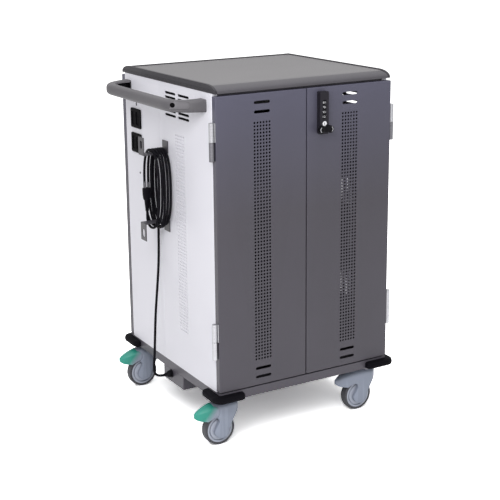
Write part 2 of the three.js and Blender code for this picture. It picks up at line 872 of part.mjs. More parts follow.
function bulkhead() {
  const y0 = bulkheadY - bulkheadSheet / 2;
  const y1 = bulkheadY + bulkheadSheet / 2;
  const slots = Array.from({ length: shelfCount }, (_, level) => {
    const z = shelfTop(level) + dividerHeight + 2 * cableSlotHeight;
    return prismY(stadium(0, z - cableSlotHeight / 2, cableSlotLength, cableSlotHeight), y0 - 1, y1 + 1, 4);
  });
  return cut(block(-innerHalfWidth, innerHalfWidth, y0, y1, panelBottom, panelTop), ...slots);
}

function outletRail(level) {
  const y0 = bulkheadY + bulkheadSheet / 2 + seat;
  const z = shelfTop(level) + dividerHeight / 2;
  const body = block(-railLength / 2, railLength / 2, y0, y0 + railDepth,
    z - railHeight / 2, z + railHeight / 2);
  const pitch = railLength / railSockets;
  const faces = Array.from({ length: railSockets }, (_, i) => {
    const x = -railLength / 2 + (i + 0.5) * pitch;
    return prismY(roundedRectangle(x, z, socketSize, socketSize, 6),
      y0 + railDepth - 1, y0 + railDepth + socketProud, 1);
  });
  return join(body, ...faces);
}

function buildInterior() {
  const names = ["lower", "middle", "upper"];
  place(cart, "bulkhead", bulkhead(), white);
  for (let level = 0; level < shelfCount; level += 1) {
    const label = names[level] ?? `level_${level + 1}`;
    place(cart, `shelf_${label}`, shelf(level), bracketGrey);
    place(cart, `outlet_rail_${label}`, outletRail(level), black);
  }
}

// Push handle: a bowed grip whose arms turn in to feet on the panel
function handleForm() {
  const panel = -halfWidth - seat;
  const barX = -halfWidth - handleReach + gripDiameter / 2;
  const reach = panel - barX;
  const foot = handleLength / 2 - footWidth / 2;
  const arm = new THREE.CubicBezierCurve3(
    new THREE.Vector3(panel, -foot, 0),
    new THREE.Vector3(panel - reach / 2, -foot, 0),
    new THREE.Vector3(barX, -foot + armBend / 5, 0),
    new THREE.Vector3(barX, -foot + armBend, 0),
  );
  const armSteps = 9;
  const half = arm.getPoints(armSteps);
  const points = [...half, ...half.map((point) => new THREE.Vector3(point.x, -point.y, 0)).reverse()];
  const sides = 12;
  const round = (value) => Math.sign(value) * Math.abs(value) ** 0.75;
  return loft(points.map((point, i) => {
    const fromFoot = Math.min(i, points.length - 1 - i) / armSteps;
    const swell = (1 - fromFoot) ** 2;
    const halfHeight = THREE.MathUtils.lerp(gripDiameter, footHeight, swell) / 2;
    const halfAcross = THREE.MathUtils.lerp(gripDiameter, footWidth, swell) / 2;
    const before = points[i - 1] ?? new THREE.Vector3(panel + 1, point.y, 0);
    const after = points[i + 1] ?? new THREE.Vector3(panel + 1, point.y, 0);
    const isFoot = i === 0 || i === points.length - 1;
    const along = isFoot ? new THREE.Vector3(i === 0 ? -1 : 1, 0, 0) : after.clone().sub(before).normalize();
    const across = new THREE.Vector3(0, 0, 1).cross(along);
    return Array.from({ length: sides }, (_, side) => {
      const angle = (2 * Math.PI * (side + 0.5)) / sides;
      return point.clone()
        .addScaledVector(across, halfAcross * round(Math.cos(angle)))
        .add(new THREE.Vector3(0, 0, halfHeight * round(Math.sin(angle))));
    });
  }));
}

// Each arm is open on its inner side, and has a screw at the end of a long recess on its outer corner
function handle() {
  const foot = handleLength / 2 - footWidth / 2;
  const wall = -halfWidth - seat - 6;
  const slope = THREE.MathUtils.degToRad(38);
  const cuts = [-1, 1].flatMap((side) => {
    const near = side * foot;
    const far = side * (foot - footWidth);
    const pocket = block(wall - armPocketLength, wall, Math.min(near, far), Math.max(near, far),
      -armPocketHeight / 2, armPocketHeight / 2);
    const recess = prismY(stadium(0, 0, screwRecessLength, screwRecessHeight), -footWidth, 2);
    const hole = prismY(disc(-screwRecessLength / 3, 0, screwHoleRadius, 10), -footWidth, 12);
    const corner = -halfWidth - handleReach * 0.74;
    return [pocket, ...[recess, hole].map((tool) => tool
      .rotateZ(-slope)
      .translate(corner, -foot + armBend / 8, 0)
      .scale(1, -side, 1))];
  });
  return cut(handleForm(), ...cuts).translate(0, handleOffsetY, doorTop - handleBelowTop);
}

// Cord hooks: a plate on the panel, an arm, and an end plate with an oval hole
function hook(armZ, side) {
  const wall = -halfWidth - seat;
  const end = wall - hookReach;
  const inside = armZ;
  const outside = armZ - side * hookSheet;
  const strip = prismY(polygon([
    [wall, outside],
    [wall, inside + side * hookPlateHeight],
    [wall - hookSheet, inside + side * hookPlateHeight],
    [wall - hookSheet, inside],
    [end + hookSheet, inside],
    [end + hookSheet, inside + side * hookLipHeight],
    [end, inside + side * hookLipHeight],
    [end, outside],
  ]), hookY - hookWidth / 2, hookY + hookWidth / 2);
  const hole = prismX(
    stadium(hookY, armZ + side * (hookLipHeight / 2 + hookSheet), hookHoleWidth, hookHoleHeight),
    end - 1, end + hookSheet + 1, 4,
  );
  return cut(strip, hole);
}

// The hank: one tube wound over the upper arm and under the lower one, ending upright below the plug.
// Its loops differ a little in width and slack, and the last one stands off from the others
function hankPath() {
  const inside = loopBend * Math.cos(Math.PI / loopSteps) - cordDiameter / 2;
  const bottom = lowerHookZ - seat + Math.sqrt(inside ** 2 - (hookWidth / 2) ** 2) - loopBend;
  const middle = (upperHookZ + lowerHookZ) / 2;
  const points = [];
  const add = (y, z) => {
    const turns = Math.max(0, points.length - 2) / loopSteps;
    const spread = lastLoopSpread * THREE.MathUtils.smoothstep(turns, loopCount - 2, loopCount - 1);
    points.push(new THREE.Vector3(-halfWidth - firstLoopOut - loopPitch * turns - spread, hookY + y, z));
  };
  const round = (value) => Math.sign(value) * Math.abs(value) ** (2 / loopFullness);
  const step = (2 * Math.PI) / loopSteps;
  const first = -loopSteps / 12;
  const last = loopSteps * loopCount - loopSteps / 4 - 1;
  const sway = (i) => 0.5 + Math.sin((loopRhythm * i) / loopSteps) / 2;
  const across = (i) => loopHalfWidth * (1 + loopUnevenness * sway(i)) * round(Math.cos(i * step));
  const slack = (i) => loopSlack * (1 - sway(i));
  const rise = (i) => Math.sin(i * step);
  const reach = (i) => middle - bottom + (rise(i) < 0 ? slack(i) : 0);
  const entry = across(first);
  const plugLow = bottom - slack(last);
  add(entry, bottom - 2 * cordDiameter);
  add(entry, bottom - cordDiameter);
  add(entry, bottom + 2 * cordDiameter);
  for (let i = first; i <= last; i += 1) {
    add(across(i), middle + reach(i) * round(rise(i)));
  }
  const bendSteps = 6;
  for (let i = 0; i <= bendSteps; i += 1) {
    const angle = (Math.PI * (i - bendSteps)) / (2 * bendSteps);
    add(plugBend * Math.cos(angle), plugLow + plugBend * (1 + Math.sin(angle)));
  }
  const end = points[points.length - 1];
  points.push(end.clone().add(new THREE.Vector3(0, 0, 2 * cordDiameter)));
  points.push(end.clone().add(new THREE.Vector3(0, 0, 3 * cordDiameter)));
  return points;
}

// Least clear distance of a tube from its own other stretches, on points along it
function gapToItself(points, diameter) {
  const curve = new THREE.CatmullRomCurve3(points);
  const samples = curve.getSpacedPoints(600);
  const step = curve.getLength() / 600;
  const skip = Math.ceil((4 * diameter) / step);
  let least = Infinity;
  for (let i = 0; i < samples.length; i += 1) {
    for (let j = i + skip; j < samples.length; j += 1) {
      least = Math.min(least, samples[i].distanceTo(samples[j]));
    }
  }
  return least - diameter;
}

// The free run from the gland up to the hank
function cordRun(hankStart) {
  const z = casterHeight - glandBelowSkirt;
  const out = -halfWidth - seat - glandReach - seat;
  const points = [
    ...runWaypoints.map(([away, back, up]) => new THREE.Vector3(out - away, glandY + back, z + up)),
    new THREE.Vector3(hankStart.x, hankStart.y, hankStart.z - seat - cordDiameter),
    new THREE.Vector3(hankStart.x, hankStart.y, hankStart.z - seat),
  ];
  const section = disc(0, 0, cordDiameter / 2, 8);
  const path = new THREE.CatmullRomCurve3(points, false, "centripetal");
  const steps = Math.round(path.getLength() / (2 * cordDiameter));
  return new THREE.ExtrudeGeometry(section, { steps, extrudePath: path });
}

function gland() {
  const profile = [
    [0, 0],
    [glandRadius + 4, 0],
    [glandRadius + 4, 5],
    [glandRadius, 6],
    [glandRadius, 14],
    [cordDiameter / 2 + 2, glandReach],
    [0, glandReach],
  ].map(([r, y]) => new THREE.Vector2(r, y));
  return new THREE.LatheGeometry(profile, 12)
    .rotateZ(Math.PI / 2)
    .translate(-halfWidth - seat, glandY, casterHeight - glandBelowSkirt);
}

// Mains plug: a sleeve that swells into a body, with two blades and a round earth pin
function plug(end) {
  const ring = (z, halfX, halfY) => Array.from({ length: 12 }, (_, i) => {
    const angle = (2 * Math.PI * (i + 0.5)) / 12;
    const round = (value) => Math.sign(value) * Math.abs(value) ** 0.7;
    const x = end.x + halfX * round(Math.cos(angle));
    return new THREE.Vector3(x, end.y + halfY * round(Math.sin(angle)), z);
  });
  const bottom = end.z + seat;
  const sleeve = cordDiameter / 2 + 1.5;
  const body = loft([
    ring(bottom, sleeve, sleeve),
    ring(bottom + plugSleeveLength, sleeve + 1, sleeve + 1),
    ring(bottom + plugSleeveLength + 12, plugWidth / 2 - 2, plugDepth / 2 - 1),
    ring(bottom + plugBodyLength - 6, plugWidth / 2, plugDepth / 2),
    ring(bottom + plugBodyLength, plugWidth / 2 - 1, plugDepth / 2 - 1),
  ]);
  const top = bottom + plugBodyLength;
  const blades = [-1, 1].map((side) => block(
    end.x + side * 6.35 - 0.8, end.x + side * 6.35 + 0.8, end.y - 6, end.y + 0.4, top - 2, top + 17,
  ));
  const earth = prismZ(disc(end.x, end.y + 6, 2.4, 8), top - 2, top + 20);
  return join(body, ...blades, earth);
}

function buildSideFittings() {
  place(cart, "side_panel_left", leftPanel(), white);
  place(cart, "side_panel_right", sidePanel().scale(-1, 1, 1), white);
  for (const [label, z] of outletHeights()) {
    place(cart, `power_outlet_${label}`, outlet(z), black);
  }
  place(cart, "push_handle", handle(), gripGrey);
  place(cart, "cord_hook_upper", hook(upperHookZ, 1), bracketGrey);
  place(cart, "cord_hook_lower", hook(lowerHookZ, -1), bracketGrey);
  place(cart, "cord_gland", gland(), black);
}

function buildCord() {
  const path = hankPath();
  console.log(`cord_hank least gap to itself ${gapToItself(path, cordDiameter).toFixed(2)} mm`);
  place(cart, "cord_hank", tube(path, cordDiameter / 2, loopSides), black);
  place(cart, "cord_run", cordRun(path[0]), black);
  place(cart, "mains_plug", plug(path[path.length - 1]), black);
}

buildBase();
buildCasters();
buildSideFittings();
buildInterior();
place(cart, "worktop", worktop(), topGrey);
buildFrontDoors();
buildRearDoor();

// The origin lies on the floor under the middle of the cart's outline, the cord left out
cart.updateMatrixWorld(true);
const outlineBox = new THREE.Box3().setFromObject(cart, true);
const middle = outlineBox.getCenter(new THREE.Vector3());
buildCord();
cart.position.set(-middle.x, -middle.y, 0);

export default cart;
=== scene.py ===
"""Looks of a laptop charging cart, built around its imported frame.

Metres, +Z up; the front doors face -Y.
"""
import json
import math

import bmesh
import bpy
from mathutils import Matrix, Vector


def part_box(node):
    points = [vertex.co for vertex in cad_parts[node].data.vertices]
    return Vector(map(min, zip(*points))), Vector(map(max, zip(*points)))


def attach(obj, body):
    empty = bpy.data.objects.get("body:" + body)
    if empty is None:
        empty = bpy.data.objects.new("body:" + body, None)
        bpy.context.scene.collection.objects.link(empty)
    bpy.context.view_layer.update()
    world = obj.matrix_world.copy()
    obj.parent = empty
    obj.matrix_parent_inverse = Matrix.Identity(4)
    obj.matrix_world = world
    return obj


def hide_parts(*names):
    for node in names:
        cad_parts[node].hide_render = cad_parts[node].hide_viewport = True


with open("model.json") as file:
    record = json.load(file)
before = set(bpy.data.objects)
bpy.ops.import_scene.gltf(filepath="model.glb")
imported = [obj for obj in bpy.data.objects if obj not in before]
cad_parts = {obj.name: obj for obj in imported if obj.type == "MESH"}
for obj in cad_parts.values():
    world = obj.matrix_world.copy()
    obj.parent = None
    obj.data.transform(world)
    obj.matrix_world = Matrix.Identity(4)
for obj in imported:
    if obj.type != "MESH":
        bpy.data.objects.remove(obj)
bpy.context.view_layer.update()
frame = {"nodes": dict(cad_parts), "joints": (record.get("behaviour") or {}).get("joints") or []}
scene = bpy.context.scene
joints = {joint["name"]: joint for joint in frame["joints"]}
MM = 0.001


# Colours are written as the display shows them and turned to linear values for the shaders
def linear(colour):
    shares = [value / 255 for value in colour]
    return [share / 12.92 if share <= 0.04045 else ((share + 0.055) / 1.055) ** 2.4 for share in shares]


EDGE_POINTINESS = (0.51, 0.58)


class Graph:
    """Short hand for the nodes of one material."""

    def __init__(self, name):
        self.material = bpy.data.materials.new(name)
        self.material.use_nodes = True
        self.nodes = self.material.node_tree.nodes
        self.links = self.material.node_tree.links
        self.shader = self.nodes["Principled BSDF"]
        self.place = self.nodes.new("ShaderNodeTexCoord").outputs["Object"]

    def noise(self, scale, detail=2.0, stretch=None):
        node = self.nodes.new("ShaderNodeTexNoise")
        node.inputs["Scale"].default_value = scale
        node.inputs["Detail"].default_value = detail
        place = self.place
        if stretch:
            mapping = self.nodes.new("ShaderNodeMapping")
            mapping.inputs["Scale"].default_value = stretch
            self.links.new(place, mapping.inputs["Vector"])
            place = mapping.outputs["Vector"]
        self.links.new(place, node.inputs["Vector"])
        return node.outputs["Fac"]

    def spread(self, value, low, high, start=0.3, end=0.7):
        node = self.nodes.new("ShaderNodeMapRange")
        node.inputs["From Min"].default_value = start
        node.inputs["From Max"].default_value = end
        node.inputs["To Min"].default_value = low
        node.inputs["To Max"].default_value = high
        self.links.new(value, node.inputs["Value"])
        return node.outputs["Result"]

    def scaled(self, colour, factor):
        node = self.nodes.new("ShaderNodeVectorMath")
        node.operation = "SCALE"
        node.inputs[0].default_value = linear(colour)
        self.links.new(factor, node.inputs["Scale"])
        return node.outputs["Vector"]

    def product(self, first, second):
        node = self.nodes.new("ShaderNodeMath")
        node.operation = "MULTIPLY"
        self.links.new(first, node.inputs[0])
        self.links.new(second, node.inputs[1])
        return node.outputs["Value"]

    def bump(self, height, distance):
        node = self.nodes.new("ShaderNodeBump")
        node.inputs["Distance"].default_value = distance
        node.inputs["Strength"].default_value = 1.0
        self.links.new(height, node.inputs["Height"])
        self.links.new(node.outputs["Normal"], self.shader.inputs["Normal"])

    def ramp(self, direction, start, end, low, high):
        """low at start turning to high at end, measured along a direction of the object."""
        node = self.nodes.new("ShaderNodeVectorMath")
        node.operation = "DOT_PRODUCT"
        node.inputs[1].default_value = direction
        self.links.new(self.place, node.inputs[0])
        return self.spread(node.outputs["Value"], low, high, start, end)

    def mixed(self, first, second, share):
        node = self.nodes.new("ShaderNodeMixRGB")
        self.links.new(share, node.inputs["Fac"])
        self.links.new(first, node.inputs["Color1"])
        self.links.new(second, node.inputs["Color2"])
        return node.outputs["Color"]

    def edge(self, low, high):
        """low on flats rising to high on outward edges."""
        geometry = self.nodes.new("ShaderNodeNewGeometry")
        return self.spread(geometry.outputs["Pointiness"], low, high, *EDGE_POINTINESS)


CLOUD_SCALE = 5.0
STREAK_SCALE = 60.0
STREAK_DEPTH = 0.04 * MM


# One recipe for paint, moulded plastic and rubber: fine grain, slow mottle and slightly worn edges
def coated(name, colour, roughness, grain, grain_depth, mottle=0.04, wear=0.12, shine=0.4,
           painted_light=None, blend=None):
    graph = Graph(name)
    cloud = graph.spread(graph.noise(CLOUD_SCALE, 3.0), 1 - mottle, 1 + mottle)
    speck = graph.spread(graph.noise(grain, 1.0), 1 - mottle, 1 + mottle)
    tone = graph.product(graph.product(cloud, speck), graph.edge(1.0, 1.0 + wear))
    # Painted light: a ramp that raises the tone, such as the light through the pedals' tips
    if painted_light:
        tone = graph.product(tone, graph.ramp(*painted_light))
    base = graph.scaled(colour, tone)
    # A second colour along a ramp: the doors' painted bluish reflection, and the pedals' grey root
    if blend:
        other, *line = blend
        base = graph.mixed(base, graph.scaled(other, tone), graph.ramp(*line))
    graph.links.new(base, graph.shader.inputs["Base Color"])
    gloss = graph.spread(graph.noise(grain / 2, 2.0), roughness * 0.9, roughness * 1.1)
    graph.links.new(gloss, graph.shader.inputs["Roughness"])
    graph.shader.inputs["Specular IOR Level"].default_value = shine
    graph.bump(graph.noise(grain, 2.0), grain_depth * MM)
    return graph.material


# Plated steel: a drawn grain along one direction
def plated(name, colour, roughness, stretch):
    graph = Graph(name)
    streak = graph.noise(STREAK_SCALE, 4.0, stretch)
    base = graph.scaled(colour, graph.spread(streak, 0.88, 1.06))
    graph.links.new(base, graph.shader.inputs["Base Color"])
    gloss = graph.spread(streak, roughness * 1.25, roughness * 0.8)
    graph.links.new(gloss, graph.shader.inputs["Roughness"])
    graph.shader.inputs["Metallic"].default_value = 1.0
    graph.bump(streak, STREAK_DEPTH)
    return graph.material


# A painted reflection: the doors' colour turns bluish towards the top, over these heights
DOOR_PAINTED_REFLECTION = ((79, 78, 94), (0, 0, 1), 0.7, 1.04, 0.0, 1.0)

# The pedals' green is lightened towards the tip as painted light shining through the plastic, and turns
# grey at the root: direction, start, end, low and high
PEDAL_TIP_LIGHT = ((1, 0, 0), -0.275, -0.33, 1.0, 1.35)
ROOT_SLANT = 0.75
ROOT_BLEND = 12 * MM
ROOT_OFFSET = 4 * MM
pedal_pivot = joints["pedal_front_left_press"]["pos_m"]
root_middle = pedal_pivot[0] - ROOT_SLANT * pedal_pivot[2] - ROOT_OFFSET
CASTER_GREY = (140, 147, 163)
root_line = (root_middle - ROOT_BLEND, root_middle + ROOT_BLEND, 0.0, 1.0)
PEDAL_ROOT = (CASTER_GREY, (1, 0, -ROOT_SLANT), *root_line)

# Name, colour, roughness, grain scale and depth in millimetres, then mottle, edge wear and shine
charcoal = coated("charcoal_coat", (70, 67, 75), 0.46, 900, 0.05)
# The door paint carries the painted bluish reflection towards the top
door_coat = coated("door_coat", (67, 64, 72), 0.46, 900, 0.05, blend=DOOR_PAINTED_REFLECTION)
lid_coat = coated("lid_coat", (105, 103, 105), 0.48, 700, 0.05, 0.04, 0.05, 0.3)
# The lid's grey darkened as painted shade for the drooping noses
nose_coat = coated("nose_coat", (77, 75, 80), 0.48, 700, 0.05, 0.04, 0.05, 0.3)
lid_end_coat = coated("lid_end_coat", (46, 44, 49), 0.5, 700, 0.06, 0.05, 0.08, 0.3)
white_coat = coated("white_coat", (229, 228, 236), 0.42, 900, 0.05, 0.012, 0.02)
inner_white = coated("inner_white", (214, 214, 218), 0.5, 900, 0.05, 0.015, 0.02)
black_plastic = coated("black_plastic", (15, 14, 18), 0.45, 1500, 0.03, 0.06, 0.15, 0.07)
deep_black = coated("deep_black", (9, 9, 11), 0.8, 1200, 0.04, 0.1, 0.0, 0.05)
bumper_rubber = coated("bumper_rubber", (12, 11, 15), 0.6, 420, 0.18, 0.12, 0.3, 0.035)
tyre_rubber = coated("tyre_rubber", (66, 66, 71), 0.62, 500, 0.08, 0.06)
caster_plastic = coated("caster_plastic", CASTER_GREY, 0.38, 1200, 0.03, 0.03)
hub_plastic = coated("hub_plastic", (174, 179, 192), 0.36, 1200, 0.03, 0.03)
# The green is lightened towards the tip as painted light
pedal_plastic = coated("pedal_plastic", (40, 132, 117), 0.34, 1200, 0.03,
                       painted_light=PEDAL_TIP_LIGHT, blend=PEDAL_ROOT)
grip_plastic = coated("grip_plastic", (86, 84, 88), 0.5, 1000, 0.05, 0.05, 0.1, 0.35)
recess_plastic = coated("recess_plastic", (112, 110, 114), 0.55, 1000, 0.06, 0.08, 0.1, 0.3)
cord_jacket = coated("cord_jacket", (14, 13, 18), 0.6, 1400, 0.03, 0.05, 0.1, 0.05)
socket_grey = coated("socket_grey", (58, 57, 62), 0.5, 1500, 0.03, 0.05, 0.1, 0.2)
outlet_black = coated("outlet_black", (11, 11, 14), 0.6, 1500, 0.04, 0.08, 0.1, 0.03)
lock_coat = coated("lock_coat", (30, 28, 35), 0.45, 1300, 0.03, 0.05, 0.15, 0.18)
knob_gloss = coated("knob_gloss", (12, 11, 15), 0.32, 1300, 0.02, 0.05, 0.2, 0.08)
hook_coat = coated("hook_coat", (60, 58, 64), 0.4, 900, 0.04, 0.04)
digit_paint = coated("digit_paint", (215, 215, 218), 0.5, 900, 0.02, 0.02)
zinc = plated("zinc_plate", (168, 168, 172), 0.45, (1.0, 1.0, 14.0))
# A darker, rougher zinc for the plug pins and caster stems, also painted shade on the upper hinges'
# fixed halves
dull_and_shaded_zinc = plated("dull_zinc_plate", (112, 111, 116), 0.5, (1.0, 1.0, 14.0))
bright_steel = plated("bright_steel", (224, 224, 228), 0.22, (12.0, 1.0, 1.0))


# Mesh helpers
def placed(name, data):
    obj = bpy.data.objects.new(name, data)
    scene.collection.objects.link(obj)
    return obj


def as_mesh(name, bm):
    mesh = bpy.data.meshes.new(name)
    bm.to_mesh(mesh)
    bm.free()
    return placed(name, mesh)


def new_object(name, bm):
    bmesh.ops.remove_doubles(bm, verts=bm.verts, dist=1e-6)
    bmesh.ops.recalc_face_normals(bm, faces=bm.faces)
    return as_mesh(name, bm)


def from_node(node, name):
    bm = bmesh.new()
    bm.from_mesh(frame["nodes"][node].data)
    bmesh.ops.remove_doubles(bm, verts=bm.verts, dist=1e-5)
    bmesh.ops.dissolve_limit(bm, angle_limit=math.radians(0.5), verts=bm.verts, edges=bm.edges)
    return new_object(name, bm)


def loft(name, rings):
    bm = bmesh.new()
    rows = [[bm.verts.new(point) for point in ring] for ring in rings]
    sides = len(rows[0])
    for row, following in zip(rows, rows[1:]):
        for i in range(sides):
            j = (i + 1) % sides
            bm.faces.new((row[i], row[j], following[j], following[i]))
    bm.faces.new(rows[0])
    bm.faces.new(rows[-1])
    return new_object(name, bm)


# A profile of (radius, height) turned about Z, closed on itself or on the axis
def lathe(name, profile, segments=64):
    bm = bmesh.new()
    points = [Vector((radius, 0, height)) for radius, height in profile]
    rows = []
    for k in range(segments):
        turn = Matrix.Rotation(2 * math.pi * k / segments, 3, "Z")
        rows.append([bm.verts.new(turn @ point) for point in points])
    on_axis = profile[0][0] < 1e-9
    last = len(points) - 1 if on_axis else len(points)
    for k in range(segments):
        row = rows[k]
        following = rows[(k + 1) % segments]
        for i in range(last):
            j = (i + 1) % len(points)
            corners = [row[i], row[j], following[j], following[i]]
            if profile[i][0] < 1e-9:
                corners.pop()
            elif profile[j][0] < 1e-9:
                corners.pop(2)
            bm.faces.new(corners)
    return new_object(name, bm)


# A closed outline of 2-D points raised along the third axis; turn maps its axes to the world
def prism(name, outline, low, high, turn=Matrix.Identity(3)):
    return loft(name, [[turn @ Vector((x, y, z)) for x, y in outline] for z in (low, high)])


ALONG_X = Matrix(((0, 0, 1), (1, 0, 0), (0, 1, 0)))
ALONG_Y = Matrix(((1, 0, 0), (0, 0, 1), (0, 1, 0)))


def stadium(cx, cy, width, height, steps=8):
    radius = min(width, height) / 2
    dx = width / 2 - radius
    dy = height / 2 - radius
    start = -math.pi / 2 if dx > dy else 0
    points = []
    for side, turn in ((1, start), (-1, start + math.pi)):
        for i in range(steps + 1):
            angle = turn + math.pi * i / steps
            x = cx + side * dx + radius * math.cos(angle)
            y = cy + side * dy + radius * math.sin(angle)
            points.append((x, y))
    return points


def circle(cx, cy, radius, start=0.0, end=2 * math.pi, count=48):
    whole = math.isclose(end - start, 2 * math.pi)
    angles = [start + (end - start) * i / count for i in range(count if whole else count + 1)]
    return [(cx + radius * math.cos(a), cy + radius * math.sin(a)) for a in angles]


def signed_power(value, power):
    return math.copysign(abs(value) ** power, value)


def squared_ring(half_x, half_y, power, sides, phase=0.0):
    """Points on an ellipse that a smaller power makes squarer."""
    angles = [2 * math.pi * (i + phase) / sides for i in range(sides)]
    return [(half_x * signed_power(math.cos(a), power), half_y * signed_power(math.sin(a), power))
            for a in angles]


def scaled_profile(profile):
    return [(radius * MM, height * MM) for radius, height in profile]


def block(name, low, high):
    (x0, y0, z0), (x1, y1, z1) = low, high
    return prism(name, [(x0, y0), (x1, y0), (x1, y1), (x0, y1)], z0, z1)


def settle(obj):
    """Turns an object's modifiers into its mesh."""
    shaped = obj.evaluated_get(bpy.context.evaluated_depsgraph_get())
    mesh = bpy.data.meshes.new_from_object(shaped)
    obj.modifiers.clear()
    obj.data = mesh


def carve(obj, cutter, operation="DIFFERENCE"):
    modifier = obj.modifiers.new("carve", "BOOLEAN")
    modifier.operation = operation
    modifier.solver = "EXACT"
    modifier.object = cutter
    settle(obj)
    bpy.data.objects.remove(cutter)
    return obj


def round_edges(obj, width, segments=2, wanted=None, angle=40):
    bm = bmesh.new()
    bm.from_mesh(obj.data)
    sharp = math.radians(angle)
    edges = []
    for edge in bm.edges:
        folded = len(edge.link_faces) == 2 and edge.calc_face_angle() > sharp
        if folded and (wanted is None or wanted(edge)):
            edges.append(edge)
    bmesh.ops.bevel(bm, geom=edges, offset=width, segments=segments, profile=0.5, affect="EDGES",
                    clamp_overlap=True)
    bm.to_mesh(obj.data)
    bm.free()
    return obj


# Smooth shading; on flat work large faces stay flat up to their rounded edges
def smooth(obj, angle=32, curved=False):
    mesh = obj.data
    mesh.polygons.foreach_set("use_smooth", [True] * len(mesh.polygons))
    mesh.set_sharp_from_angle(angle=math.radians(angle))
    if curved:
        return
    modifier = obj.modifiers.new("normals", "WEIGHTED_NORMAL")
    modifier.keep_sharp = True
    settle(obj)


def join(name, parts):
    bm = bmesh.new()
    for part in parts:
        part.data.transform(part.matrix_world)
        bm.from_mesh(part.data)
        bpy.data.objects.remove(part)
    return as_mesh(name, bm)


def dress(obj, material, body, slot, *nodes, angle=32, curved=False):
    obj.data.materials.clear()
    obj.data.materials.append(material)
    smooth(obj, angle, curved)
    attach(obj, body)
    if nodes:
        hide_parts(*nodes)
    return obj


# Faces whose middle passes a test take a second finish
def tint(obj, material, inside):
    obj.data.materials.append(material)
    index = len(obj.data.materials) - 1
    for face in obj.data.polygons:
        if inside(face.center):
            face.material_index = index


def near(a, b, margin=2e-4):
    return abs(a - b) < margin


# Camera at the photograph's view, and plain soft light
EYE = (-1.7887, -3.0863, 1.5259)
EYE_TURN = (75.98, 0.803, -29.36)
LENS = 83.05
SHIFT = (0.05, -0.0788)

camera_data = bpy.data.cameras.new("camera")
camera_data.lens = LENS
camera_data.sensor_width = 36.0
camera_data.shift_x, camera_data.shift_y = SHIFT
camera = placed("camera", camera_data)
camera.location = EYE
camera.rotation_euler = [math.radians(angle) for angle in EYE_TURN]
scene.camera = camera
scene.view_settings.view_transform = "Standard"

ROOM_LIGHT = 0.54
BACKDROP = 1.0
FLOOR_LIT = 0.6
FLOOR_MIRRORED = 1.8
FLOOR_SEEN = 2.6
FLOOR_REACH = 30.0
# Name, place, aim, size and power
LAMPS = (
    ("overhead", (0.0, 0.0, 5.5), (0, 0, 0), 5.0, 130),
    ("front", (-1.6, -4.6, 2.4), (0, 0, 0.6), 3.0, 48),
    ("side", (-1.5, -1.6, 2.0), (-0.2, -0.2, 0.7), 1.0, 27),
)


def by_ray(nodes, links, scattered, seen):
    """One value for scattered light, another where a surface is seen or mirrored."""
    path = nodes.new("ShaderNodeLightPath")
    total = path.outputs["Is Camera Ray"]
    for ray in ("Is Glossy Ray", "Is Transmission Ray"):
        add = nodes.new("ShaderNodeMath")
        add.operation = "MAXIMUM"
        links.new(total, add.inputs[0])
        links.new(path.outputs[ray], add.inputs[1])
        total = add.outputs["Value"]
    level = nodes.new("ShaderNodeMapRange")
    level.inputs["To Min"].default_value = scattered
    level.inputs["To Max"].default_value = seen
    links.new(total, level.inputs["Value"])
    return level.outputs["Result"]


def build_world():
    world = bpy.data.worlds.new("studio")
    world.use_nodes = True
    nodes = world.node_tree.nodes
    links = world.node_tree.links
    background = nodes["Background"]
    background.inputs["Color"].default_value = (1.0, 1.0, 1.0, 1.0)
    links.new(by_ray(nodes, links, ROOM_LIGHT, BACKDROP), background.inputs["Strength"])
    scene.world = world


# The floor is white where light falls freely: brighter when mirrored, and brightest when seen
def build_floor():
    bm = bmesh.new()
    corners = [(x * FLOOR_REACH, y * FLOOR_REACH, 0) for x, y in ((-1, -1), (1, -1), (1, 1), (-1, 1))]
    bm.faces.new([bm.verts.new(corner) for corner in corners])
    floor = new_object("floor", bm)
    material = bpy.data.materials.new("floor")
    material.use_nodes = True
    nodes = material.node_tree.nodes
    links = material.node_tree.links
    nodes.remove(nodes["Principled BSDF"])
    paper = nodes.new("ShaderNodeBsdfDiffuse")
    path = nodes.new("ShaderNodeLightPath")
    bright = nodes.new("ShaderNodeMath")
    bright.operation = "MULTIPLY_ADD"
    bright.inputs[1].default_value = FLOOR_SEEN - FLOOR_MIRRORED
    links.new(path.outputs["Is Camera Ray"], bright.inputs[0])
    links.new(by_ray(nodes, links, FLOOR_LIT, FLOOR_MIRRORED), bright.inputs[2])
    links.new(bright.outputs["Value"], paper.inputs["Color"])
    links.new(paper.outputs["BSDF"], nodes["Material Output"].inputs["Surface"])
    floor.data.materials.append(material)


def area_light(name, place, target, size, power):
    data = bpy.data.lights.new(name, "AREA")
    data.shape = "SQUARE"
    data.size = size
    data.energy = power
    lamp = placed(name, data)
    lamp.location = place
    lamp.rotation_euler = (Vector(target) - Vector(place)).to_track_quat("-Z", "Y").to_euler()


build_world()
build_floor()
for lamp_values in LAMPS:
    area_light(*lamp_values)


